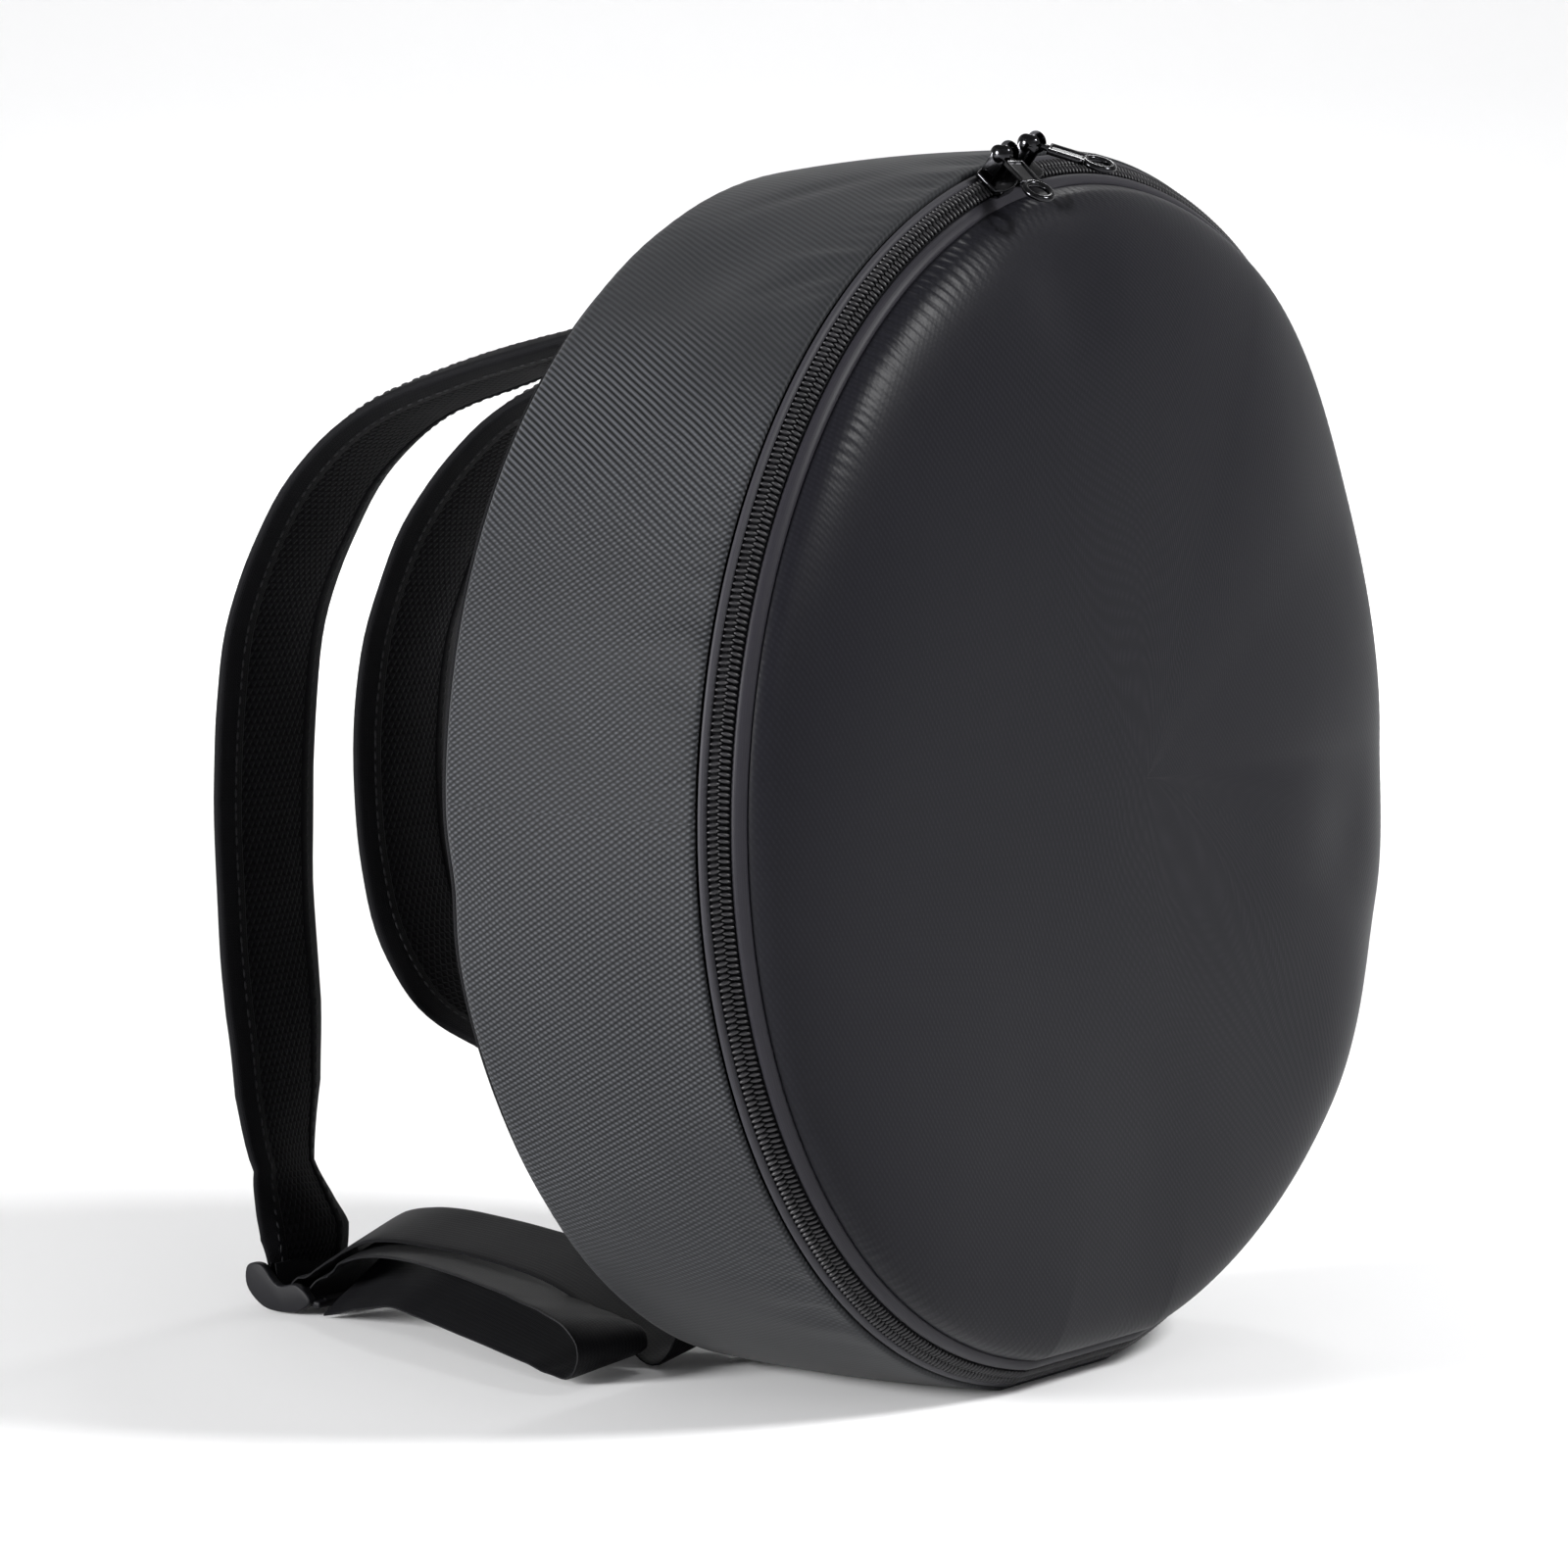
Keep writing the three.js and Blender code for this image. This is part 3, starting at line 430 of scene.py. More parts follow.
def solidMaterial(name, row):
    material, tree, shader, coords = startMaterial(name)
    grain = placeGroup(tree, "grain", coords.outputs["Object"], dict(Low=row["low"], High=row["high"]))
    color = blendColor(tree, grain.outputs["Patches"], (*row["dark"], 1), (*row["light"], 1))
    feed(tree, shader.inputs["Base Color"], color)
    feed(tree, shader.inputs["Roughness"], grain.outputs["Roughness"])
    shader.inputs["Metallic"].default_value = row["metal"]
    shader.inputs["Specular IOR Level"].default_value = row["specular"]
    addBump(tree, shader, grain.outputs["Height"], row["bump"], solidBumpStrength)
    return material


materials = {name: clothMaterial(name, row) for name, row in finishes.items()}
materials.update({name: solidMaterial(name, row) for name, row in solidFinishes.items()})
print("materials:", len(materials))


# Mesh helpers

def smooth(value, low, high):
    share = np.clip((value - low) / (high - low), 0, 1)
    return share * share * (3 - 2 * share)


def bell(distance, spread):
    return np.exp(-(distance / spread) ** 2)


def warp(bm, *changes):  # moves every vertex by each change in turn
    points = np.array([vert.co for vert in bm.verts])
    for change in changes:
        points = change(points)
    for vert, point in zip(bm.verts, points):
        vert.co = point


def layerValues(bm, name):
    layer = bm.verts.layers.float[name]
    return np.array([vert[layer] for vert in bm.verts])


def addPiece(name, bm, finish, body="bag", replaces=(), crease=None, turnOut=True):
    if turnOut:
        bmesh.ops.recalc_face_normals(bm, faces=bm.faces)
    mesh = smoothMesh(name, bm)
    for each in [finish] if isinstance(finish, str) else finish:
        mesh.materials.append(materials[each])
    if crease is not None:
        mesh.set_sharp_from_angle(angle=math.radians(crease))
    piece = addObject(name, mesh)
    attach(piece, body)
    if replaces:
        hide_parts(*replaces)
    print(name, len(mesh.polygons), "faces")
    return piece


def spinProfile(rows, steps, close=False):  # rows of (radius, depth, skin), turned round the bag's axis
    bm = bmesh.new()
    alongLayer = bm.verts.layers.float.new("along")
    skinLayer = bm.verts.layers.float.new("skin")
    travelled = 0.0
    verts = []
    for index, (radius, depth, skin) in enumerate(rows):
        if index:
            travelled += math.hypot(radius - rows[index - 1][0], depth - rows[index - 1][1])
        vert = bm.verts.new((radius, depth, 0))
        vert[alongLayer] = travelled
        vert[skinLayer] = skin
        verts.append(vert)
    spinRound(bm, verts + chain(bm, verts, close), (0, 0, 0), (0, 1, 0), steps)
    return bm


def uvRound(bm, radius):  # cloth that runs round the bag: u along the rim, v along the profile
    layer = bm.loops.layers.uv.new("cloth")
    along = bm.verts.layers.float["along"]
    for face in bm.faces:
        middle = face.calc_center_median()
        centre = math.atan2(middle.z, middle.x)
        for loop in face.loops:
            turn = math.atan2(loop.vert.co.z, loop.vert.co.x)
            turn = centre + (turn - centre + math.pi) % (2 * math.pi) - math.pi
            loop[layer].uv = (turn * radius, loop.vert[along])


def uvFlat(bm):  # cloth cut as a disc: the profile's length is laid out from the middle
    layer = bm.loops.layers.uv.new("cloth")
    along = bm.verts.layers.float["along"]
    for face in bm.faces:
        for loop in face.loops:
            turn = math.atan2(loop.vert.co.z, loop.vert.co.x)
            loop[layer].uv = (loop.vert[along] * math.cos(turn), loop.vert[along] * math.sin(turn))


def rollGrid(rings):  # rings[station][corner] are places; a grid is rolled through them into a closed tube
    stations, corners = len(rings) - 1, len(rings[0])
    bm = bmesh.new()
    layer = bm.loops.layers.uv.new("cloth")
    bmesh.ops.create_grid(bm, x_segments=stations, y_segments=corners, size=1.0)
    lengths = np.concatenate([[0], np.cumsum(np.linalg.norm(np.diff(rings.mean(axis=1), axis=0), axis=1))])
    widest = rings[np.argmax(np.linalg.norm(rings - np.roll(rings, 1, axis=1), axis=2).sum(axis=1))]
    girth = np.concatenate([[0], np.cumsum(np.linalg.norm(np.roll(widest, -1, axis=0) - widest, axis=1))])
    spots = {}
    for vert in bm.verts:
        station = round((vert.co.x + 1) / 2 * stations)
        corner = round((vert.co.y + 1) / 2 * corners)
        spots[vert] = (station, corner)
    for face in bm.faces:
        for loop in face.loops:
            station, corner = spots[loop.vert]
            loop[layer].uv = (lengths[station], girth[corner])
    for vert, (station, corner) in spots.items():
        vert.co = rings[station][corner % corners]
    bmesh.ops.remove_doubles(bm, verts=bm.verts, dist=weldDistance)
    bmesh.ops.holes_fill(bm, edges=[edge for edge in bm.edges if edge.is_boundary], sides=0)
    return bm


def repeatShape(shape, matrices):  # one joined mesh of a small shape set down many times
    points = np.array([vert.co for vert in shape.verts])
    shape.verts.index_update()
    faces = [[vert.index for vert in face.verts] for face in shape.faces]
    mesh = bpy.data.meshes.new("repeat")
    places = np.concatenate([points @ np.array(m.to_3x3()).T + np.array(m.translation) for m in matrices])
    starts = range(0, len(matrices) * len(points), len(points))
    copies = [[start + index for index in face] for start in starts for face in faces]
    mesh.from_pydata(places.tolist(), [], copies)
    bm = bmesh.new()
    bm.from_mesh(mesh)
    bpy.data.meshes.remove(mesh)
    shape.free()
    return bm


def joinInto(bm, other):
    mesh = bpy.data.meshes.new("joined")
    other.to_mesh(mesh)
    other.free()
    bm.from_mesh(mesh)
    bpy.data.meshes.remove(mesh)


def frameOf(place, along, up):  # x along, z up
    x = Vector(along).normalized()
    y = Vector(up).cross(x).normalized()
    z = x.cross(y)
    matrix = Matrix((x, y, z)).transposed().to_4x4()
    matrix.translation = place
    return matrix


def grainShape(length, width, height, around, rows):  # a rounded grain along X, for a stitch or a tooth
    bm = bmesh.new()
    bmesh.ops.create_uvsphere(bm, u_segments=around, v_segments=rows, radius=1.0)
    bmesh.ops.rotate(bm, verts=bm.verts, cent=(0, 0, 0), matrix=Matrix.Rotation(math.pi / 2, 3, "Y"))
    bmesh.ops.scale(bm, verts=bm.verts, vec=(length / 2, width / 2, height / 2))
    return bm


def arcRows(middle, radius, bends, skin):  # rows of (radius, depth, skin) round a corner of the profile
    turns = [math.radians(bend) for bend in bends]
    return [(middle[0] + radius * math.cos(t), middle[1] + radius * math.sin(t), skin) for t in turns]


# The round bag's soft form, as the solids have it. Depth is measured back from the front seam.

bag = dict(
    radius=0.2,
    depth=0.102,
    taper=0.007,
    taperPower=1.5,
    crown=0.0015,
    edgeRound=0.008,
    wall=0.004,
    axisHeight=0.1975,
    grooveRadius=0.189,
    grooveDepth=0.012,
    setBackReach=0.06,
    rimPower=3,
    leanPower=4,
    steps=480,
)
underside = dict(middle=270, fill=0.0074, fullTo=14, goneBy=65, pressedBelow=-0.17, freeAbove=-0.12)
rimRows = table(  # angles run from +X through the top
    "angle setBack lean fullness",
    (0, 0.0006, 0.005, 3),
    (26, 0.0048, 0.004, 3),
    (62, 0.0002, 0.001, 5),
    (95, 0, 0, 8),
    (135, 0, 0, 5),
    (180, 0, 0, 5),
    (270, 0, 0, 6),
    (318, 0, 0, 12),
    (342, 0, 0.0035, 6),
)
gussetDents = table(
    "angle y depth spread",
    (125, 0.056, 0.0032, 0.026),
    (172, 0.046, 0.0026, 0.03),
    (188, 0.1, 0.003, 0.016),
    (30, 0.06, 0.002, 0.036),
)
panelDents = table(
    "x z depth spread",
    (-0.04, 0.16, 0.003, 0.02),
    (0.138, -0.03, 0.0025, 0.026),
)
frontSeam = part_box("gusset")[0].y
bandRun = bag["radius"] - bag["grooveRadius"]
bandLength = math.hypot(bandRun, bag["grooveDepth"])
bandInward, bandForward = bandRun / bandLength, bag["grooveDepth"] / bandLength
rippleSkew = 0.37


def turnBetween(angle, other):
    return np.mod(angle - other + 180, 360) - 180


def rimAt(angle, column):
    starts = np.array([row["angle"] for row in rimRows])
    values = np.array([row[column] for row in rimRows])
    turn = np.mod(angle, 360)
    index = np.searchsorted(starts, turn, side="right") - 1
    after = (index + 1) % len(rimRows)
    share = (turn - starts[index]) / np.mod(starts[after] - starts[index], 360)
    return values[index] + (values[after] - values[index]) * smooth(share, 0, 1)


def settle(points):  # the bottom flattens, the rim gives way and the cloth dents
    x, y, z = points.T
    angle = np.degrees(np.arctan2(z, x))
    radius = np.hypot(x, z)
    reach = radius / bag["radius"]
    deep = np.clip(y / bag["depth"], 0, 1)
    fromMiddle = np.abs(turnBetween(angle, underside["middle"]))
    under = 1 - smooth(fromMiddle, underside["fullTo"], underside["goneBy"])
    nearRim = reach ** bag["rimPower"]
    radius = radius + underside["fill"] * under * deep ** bag["taperPower"] * nearRim
    for dent in gussetDents:
        arc = np.radians(turnBetween(angle, dent["angle"])) * bag["radius"]
        hollow = bell(arc, dent["spread"]) * bell(y - dent["y"], dent["spread"])
        radius = radius - dent["depth"] * hollow * nearRim
    onFront = smooth(-y, 0, bag["grooveDepth"])
    back = y + rimAt(angle, "setBack") * (1 - smooth(y, 0, bag["setBackReach"])) * nearRim
    back = back + rimAt(angle, "lean") * onFront * reach ** bag["leanPower"]
    for dent in panelDents:
        back = back + dent["depth"] * onFront * bell(np.hypot(x - dent["x"], z - dent["z"]), dent["spread"])
    x = radius * np.cos(np.radians(angle))
    z = radius * np.sin(np.radians(angle))
    low = 1 - smooth(z, underside["pressedBelow"], underside["freeAbove"])
    z = z + low * np.maximum(0, np.sqrt(np.maximum(0, bag["radius"] ** 2 - x ** 2)) - bag["axisHeight"])
    return np.column_stack([x, back, np.maximum(z, -bag["axisHeight"])])


def toFrame(points):  # from the bag's axis and front seam to the frame
    return points + np.array([0, frontSeam, bag["axisHeight"]])


def onBand(along, off):  # a place on the slanted zip band, as (radius, depth)
    return bag["radius"] - along * bandInward + off * bandForward, -along * bandForward - off * bandInward


def gussetRadius(depth):
    share = depth / bag["depth"]
    drawnIn = bag["taper"] * share ** bag["taperPower"]
    return bag["radius"] - drawnIn + bag["crown"] * math.sin(math.pi * share)


def ripple(points, scale, seed):  # smooth noise from -1 to 1 at each place
    shift = Vector((seed, rippleSkew * seed, 0))
    return np.array([noise.noise(Vector(point) * scale + shift) for point in points])


def fromAxis(x, y, z, grown):  # places moved out from the bag's axis, or in towards it
    return np.column_stack([x * grown, y, z * grown])


# Gusset: the padded wall round the bag, rolled over at the zip and turned in at the back seam

gusset = dict(
    roll=0.0012,
    hemIn=2.2,  # the hem's hidden edge, in rolls from the rim and from the seam
    hemBack=1.4,
    rollBends=(-150, -120, -90, -60, -30, 0),
    edgeBends=(18, 36, 54, 72, 90),
    insideBends=(90, 45, 0),
    insideShares=(0.8, 0.6, 0.4, 0.2, 0.04),
    steps=720,
    rows=36,
    wave=0.0011,
    waveScale=17,
    waveStretch=0.6,
    waveSeed=3.1,
    freeFrom=(0.002, 0.02),
    freeTo=(0.075, 0.098),
    fineScale=60,
    fineStretch=(1, 0.3, 1),
    fineSeed=8.3,
    pucker=0.0005,
    puckerCount=150,
    puckerStray=2.5,
    puckerMean=0.6,
    puckerChange=0.4,
    puckerFront=0.5,
    puckerBack=0.15,
    frontSeamAt=0.005,
    backSeamAt=0.094,
    seamReach=0.009,
    slowScale=14,
    slowSeed=2.6,
    tuck=0.0012,
    tuckCount=44,
    tuckStray=5,
    tuckMean=0.15,
    tuckAt=0.004,
    tuckReach=0.02,
    offZip=(0.0008, 0.003),
    offFloor=(-0.19, -0.15),
    fill=0.9,
)
gussetFolds = table(  # soft ridges and valleys: bearing 0 runs round the rim, 90 runs back from the zip
    "angle y bearing length width push",
    (122.4, 0.066, -45, 0.03, 0.008, -0.0014),
    (123.6, 0.012, 90, 0.014, 0.0036, 0.0009),
    (130.8, 0.008, 85, 0.012, 0.0034, 0.0008),
    (127, 0.018, 70, 0.014, 0.004, -0.0007),
    (110, 0.05, 60, 0.02, 0.006, -0.0007),
    (164.8, 0.014, 90, 0.014, 0.004, 0.0007),
    (172.5, 0.045, -43, 0.016, 0.009, -0.0011),
    (175.7, 0.011, 80, 0.012, 0.004, 0.0006),
    (196, 0.07, -30, 0.02, 0.007, -0.0007),
    (64, 0.05, 50, 0.028, 0.008, -0.0012),
    (48, 0.012, 90, 0.014, 0.004, 0.0008),
    (20, 0.03, -40, 0.022, 0.008, -0.001),
    (348, 0.06, 35, 0.024, 0.008, -0.001),
)


def makeGusset():
    roll = gusset["roll"]
    backStart = bag["depth"] - bag["edgeRound"]
    rows = [(bag["radius"] - gusset["hemIn"] * roll, roll * gusset["hemBack"], 1)]
    rows += arcRows((bag["radius"] - roll, roll), roll, gusset["rollBends"], 1)
    for step in range(1, gusset["rows"] + 1):
        depth = roll + (backStart - roll) * step / gusset["rows"]
        rows.append((gussetRadius(depth), depth, 1))
    middle = (gussetRadius(backStart) - bag["edgeRound"], backStart)
    rows += arcRows(middle, bag["edgeRound"], gusset["edgeBends"], 1)
    rows += arcRows(middle, bag["edgeRound"] - bag["wall"], gusset["insideBends"], 0)
    for share in gusset["insideShares"]:
        rows.append((gussetRadius(share * backStart) - bag["wall"], share * backStart, 0))
    bm = spinProfile(rows, gusset["steps"], close=True)
    uvRound(bm, bag["radius"])
    skin = layerValues(bm, "skin")

    def soften(points):  # slow waves in the wall, folds, and puckers along both seams
        x, y, z = points.T
        angle = np.arctan2(z, x)
        free = smooth(y, *gusset["freeFrom"]) * (1 - smooth(y, *gusset["freeTo"]))
        stretched = np.column_stack([x, gusset["waveStretch"] * y, z])
        push = ripple(stretched, gusset["waveScale"], gusset["waveSeed"]) * gusset["wave"] * free
        fine = ripple(points * np.array(gusset["fineStretch"]), gusset["fineScale"], gusset["fineSeed"])
        slow = ripple(points, gusset["slowScale"], gusset["slowSeed"])
        pucker = np.sin(angle * gusset["puckerCount"] + gusset["puckerStray"] * fine)
        pucker = pucker * (gusset["puckerMean"] + gusset["puckerChange"] * fine)
        tuck = np.sin(angle * gusset["tuckCount"] + gusset["tuckStray"] * slow)
        tuck = tuck * np.maximum(0, slow + gusset["tuckMean"])
        fromZip = smooth(y, *gusset["offZip"])
        nearFront = bell(y - gusset["frontSeamAt"], gusset["seamReach"]) * fromZip
        nearBack = bell(y - gusset["backSeamAt"], gusset["seamReach"])
        near = gusset["puckerFront"] * nearFront + gusset["puckerBack"] * nearBack
        push += gusset["pucker"] * pucker * near
        push += gusset["tuck"] * tuck * bell(y - gusset["tuckAt"], gusset["tuckReach"]) * fromZip
        for fold in gussetFolds:
            arc = np.radians(turnBetween(np.degrees(angle), fold["angle"])) * bag["radius"]
            turn = math.radians(fold["bearing"])
            along = arc * math.cos(turn) + (y - fold["y"]) * math.sin(turn)
            across = (y - fold["y"]) * math.cos(turn) - arc * math.sin(turn)
            push += fold["push"] * bell(along, fold["length"]) * bell(across, fold["width"]) * fromZip
        grown = 1 + push * skin * smooth(z, *gusset["offFloor"]) / np.hypot(x, z)
        return fromAxis(x, y, z, grown)

    warp(bm, soften, settle, toFrame)
    piece = addPiece("gussetCloth", bm, "oxfordCloth", replaces=["gusset"])


# Front panel: a padded dome gathered into the zip

panel = dict(
    depth=0.033,
    fullness=4,
    padding=0.004,
    innerLoss=0.0013,
    flatShares=(0.04, 0.08, 0.13, 0.18, 0.23, 0.28, 0.33, 0.38, 0.43, 0.48, 0.53, 0.58),
    rimBends=(66, 62, 58, 54, 50, 46, 42, 38, 34, 30.5, 27, 24, 21, 18, 15.5, 13, 10.5, 8, 6, 4, 2, 0),
    innerBends=(0, 10, 26, 45, 66, 90),
    easeReach=1.5,
    steps=1440,
    wave=0.0009,
    waveScale=11,
    waveSeed=5.7,
    waveTo=(0.165, 0.187),
    fineScale=70,
    fineSeed=1.9,
    gather=0.0003,
    gatherCount=300,
    gatherStray=4.5,
    gatherMean=0.6,
    gatherChange=0.6,
    gatherAt=0.004,
    gatherStart=0.002,
    gatherReach=0.0066,
    gatherFrom=(88, 102),
    gatherTo=(132, 152),
    gatherElsewhere=0.25,
    fill=0.7,
)


def makeFrontPanel():
    groove, depth = bag["grooveRadius"], bag["grooveDepth"]
    swell = panel["depth"] - depth
    edge = onBand(bandLength, -panel["padding"])

    def dome(bend, rim, start, height, skin):
        turn = math.radians(bend)
        radius = 0 if bend == 90 else rim * math.cos(turn) ** (2 / panel["fullness"])
        return radius, -start - height * math.sin(turn), skin

    flat = [math.degrees(math.acos(share ** (panel["fullness"] / 2))) for share in panel["flatShares"]]
    rows = [dome(bend, groove, depth, swell, 1) for bend in (90, *flat, *panel["rimBends"])]
    lining = (edge[0], -edge[1], swell - panel["innerLoss"], 0)
    rows += [dome(bend, *lining) for bend in panel["innerBends"]]
    bm = spinProfile(rows, panel["steps"])
    uvFlat(bm)
    skin = layerValues(bm, "skin")

    def fillOut(points):
        x, y, z = points.T
        radius = np.maximum(np.hypot(x, z), leastLength)
        fullness = rimAt(np.degrees(np.arctan2(z, x)), "fullness")
        filled = groove * (radius / groove) ** (panel["fullness"] / fullness)
        ease = smooth(-y, depth, panel["easeReach"] * depth)
        return fromAxis(x, y, z, (radius + (filled - radius) * ease) / radius)

    def soften(points):  # slow waves over the padding, and short gathers at the upper left
        x, y, z = points.T
        angle = np.arctan2(z, x)
        degrees = np.degrees(angle)
        rim = np.hypot(x, z)
        slow = ripple(np.column_stack([x, z, 0 * x]), panel["waveScale"], panel["waveSeed"]) * panel["wave"]
        slow = slow * (1 - smooth(rim, *panel["waveTo"]))
        fine = ripple(points, panel["fineScale"], panel["fineSeed"])
        zone = smooth(degrees, *panel["gatherFrom"]) * (1 - smooth(degrees, *panel["gatherTo"]))
        near = bell(-y - depth - panel["gatherAt"], panel["gatherReach"])
        near = near * smooth(-y, depth, depth + panel["gatherStart"])
        tuck = np.sin(angle * panel["gatherCount"] + panel["gatherStray"] * fine)
        tuck = tuck * (panel["gatherMean"] + panel["gatherChange"] * fine)
        push = panel["gather"] * tuck * near * (panel["gatherElsewhere"] + zone) * skin
        return fromAxis(x, y + slow * skin, z, 1 - push / np.maximum(rim, leastLength))

    warp(bm, fillOut, soften, settle, toFrame)
    piece = addPiece("frontPanel", bm, "panelCloth", replaces=["front_panel"])


# Back panel: flat spacer mesh with a soft edge, and a cord of cloth sewn in round it

back = dict(
    radius=0.1858,
    face=0.103,
    inside=0.095,
    shares=(0, 0.15, 0.3, 0.45, 0.6, 0.72, 0.83, 0.92),
    steps=240,
    pipingRadius=0.0021,
    pipingAt=(0.1872, 0.1021),
    pipingBends=range(0, 360, 36),
    fill=0.6,
)
backEdge = table(
    "inward down",
    (0.013, 0),
    (0.008, 0.0002),
    (0.0045, 0.0008),
    (0.0018, 0.002),
    (0, 0.0037),
    (0, 0.006),
    (0.0045, 0.008),
)


def makeBackPanel():
    flat = back["radius"] - backEdge[0]["inward"]
    rows = [(flat * share, back["face"], 1) for share in back["shares"]]
    rows += [(back["radius"] - row["inward"], back["face"] - row["down"], 1) for row in backEdge]
    rows.append((0, back["inside"], 0))
    bm = spinProfile(rows, back["steps"])
    uvFlat(bm)
    warp(bm, settle, toFrame)
    piece = addPiece("backPanel", bm, "backMesh", replaces=["back_panel"])

    ring = arcRows(back["pipingAt"], back["pipingRadius"], back["pipingBends"], 1)
    bm = spinProfile(ring, bag["steps"], close=True)
    uvRound(bm, bag["radius"])
    warp(bm, settle, toFrame)
    addPiece("backPiping", bm, "bindingTape")


# Zip: two tapes, the tape's middle under the coil painted near-black as the shade between the teeth, and the
# coil's teeth

zipBand = dict(
    under=0.0014,
    outerFrom=0.0017,
    outerTo=0.0043,
    outerEdge=0.001,
    hemSide=0.6,  # the hem's rounding, in shares of the edge
    hemIn=0.3,
    hemTop=0.2,
    coreFrom=0.004,
    coreTo=0.0114,
    coreDrop=0.0004,
    rollFrom=0.0116,
    rollTo=0.0164,
    rollHeight=0.0012,
    rollSteps=10,
    pressSpread=4,
)
tooth = dict(
    pitch=0.002,
    length=0.0038,
    width=0.0013,
    height=0.0017,
    around=8,
    rows=6,
    lift=0.00025,
    leftAt=0.0062,
    rightAt=0.0093,
    rightShift=0.5,
    slant=9,
)
sliderAngles = (104.2, 99.8)


def pressed(points):  # what stands above the band lies flat under the sliders
    x, y, z = points.T
    radius = np.hypot(x, z)
    off = (radius - bag["radius"]) * bandForward - y * bandInward
    degrees = np.degrees(np.arctan2(z, x))
    press = sum(bell(turnBetween(degrees, angle), zipBand["pressSpread"]) for angle in sliderAngles)
    drop = np.maximum(off, 0) * np.minimum(press, 1)
    return fromAxis(x, y + drop * bandInward, z, (radius - drop * bandForward) / radius)


def bandPiece(name, corners, finish, replaces=()):
    rows = [(*onBand(along, off), 1) for along, off in corners]
    bm = spinProfile(rows, bag["steps"], close=True)
    uvRound(bm, bag["radius"])
    warp(bm, pressed, settle, toFrame)
    addPiece(name, bm, finish, replaces=replaces)


def makeZipTapes():
    under = -zipBand["under"]
    low, high, edge = zipBand["outerFrom"], zipBand["outerTo"], zipBand["outerEdge"]
    hem = [(low, under), (low, -zipBand["hemSide"] * edge)]
    hem += [(low + zipBand["hemIn"] * edge, -zipBand["hemTop"] * edge), (low + edge, 0)]
    bandPiece("zipTapeOuter", hem + [(high, 0), (high, under)], "zipTape", ["zip_tape_outer"])
    # the tape's middle under the coil, sunk a little: real tape, but made in the near-black binding cloth as
    # painted shade between the teeth and beside the rolled tape
    low, high, drop = zipBand["coreFrom"], zipBand["coreTo"], -zipBand["coreDrop"]
    bandPiece("zipCorePaintedShade", [(low, under), (low, drop), (high, drop), (high, under)], "bindingTape")
    low, high = zipBand["rollFrom"], zipBand["rollTo"]
    roll = [(low, under)]
    for step in range(zipBand["rollSteps"] + 1):
        turn = math.pi * step / zipBand["rollSteps"]
        along = (low + high) / 2 - (high - low) / 2 * math.cos(turn)
        roll.append((along, zipBand["rollHeight"] * math.sin(turn)))
    bandPiece("zipTapeInner", roll + [(high, under)], "zipRoll", ["zip_tape_inner"])


def bandFrames(count, along, off, shift, slant):  # a frame at each of count places round the band
    spin = 2 * math.pi * (np.arange(count) + shift) / count
    step = 1e-4

    def places(turns, reach, lift):
        radius, depth = onBand(reach, lift)
        ring = np.column_stack([radius * np.cos(turns), np.full(count, depth), radius * np.sin(turns)])
        return toFrame(settle(ring))

    here = places(spin, along, off)
    inward = places(spin, along + step, off) - here
    onward = places(spin + step, along, off) - here
    frames = []
    for place, across, ahead in zip(here, inward, onward):
        up = Vector(across).cross(Vector(ahead))
        outside = Vector((place[0], 0, place[2] - bag["axisHeight"]))
        matrix = frameOf(place, across, up if up.dot(outside) > 0 else -up)
        frames.append(matrix @ Matrix.Rotation(math.radians(slant), 4, "Z"))
    return frames


def makeTeeth():
    middle = onBand((tooth["leftAt"] + tooth["rightAt"]) / 2, 0)[0]
    count = round(2 * math.pi * middle / tooth["pitch"])
    frames = bandFrames(count, tooth["leftAt"], tooth["lift"], 0, tooth["slant"])
    frames += bandFrames(count, tooth["rightAt"], tooth["lift"], tooth["rightShift"], -tooth["slant"])
    shape = grainShape(tooth["length"], tooth["width"], tooth["height"], tooth["around"], tooth["rows"])
    teeth = repeatShape(shape, frames)
    addPiece("zipTeeth", teeth, "coilNylon", replaces=["zip_coil"], turnOut=False)


makeGusset()
makeFrontPanel()
makeBackPanel()
makeZipTapes()
makeTeeth()


# Straps and webbing follow the same centre lines as the solids

strap = dict(
    centre=0.041,
    width=0.05,
    thickness=0.0095,
    corners=40,
    perSpan=5,
    edgeShare=0.42,
    acrossPower=0.7,
    crownPower=2.6,
    throughPower=0.45,
    padInset=0.0016,
    bindingThick=0.0007,
    bindingSunk=0.0004,
    bindingWrap=58,
    bindingSteps=10,
    stitchPitch=0.0042,
    stitchLength=0.003,
    stitchThick=0.0008,
    stitchAround=6,
    stitchRows=5,
    stitchTurns=(50, 130, 230, 310),
    stitchFrom=0.004,
    stitchPerSpan=24,
    wave=0.0007,
    waveScale=38,
    waveSeed=4.4,
    crumple=0.0016,
    crumpleFrom=(0.78, 0.92),
    crumpleTo=(0.95, 1.0),
    fill=0.75,
)
leastGap = 1e-6
strapTop = table(
    "y z wide thick",
    (0.1035, 0.3452, 0.96, 0.74),
    (0.111, 0.345, 0.98, 0.84),
    (0.13, 0.341, 1, 0.95),
    (0.165, 0.3325, 1, 1),
    (0.202, 0.323, 1, 1),
    (0.238, 0.3095, 1, 1),
)
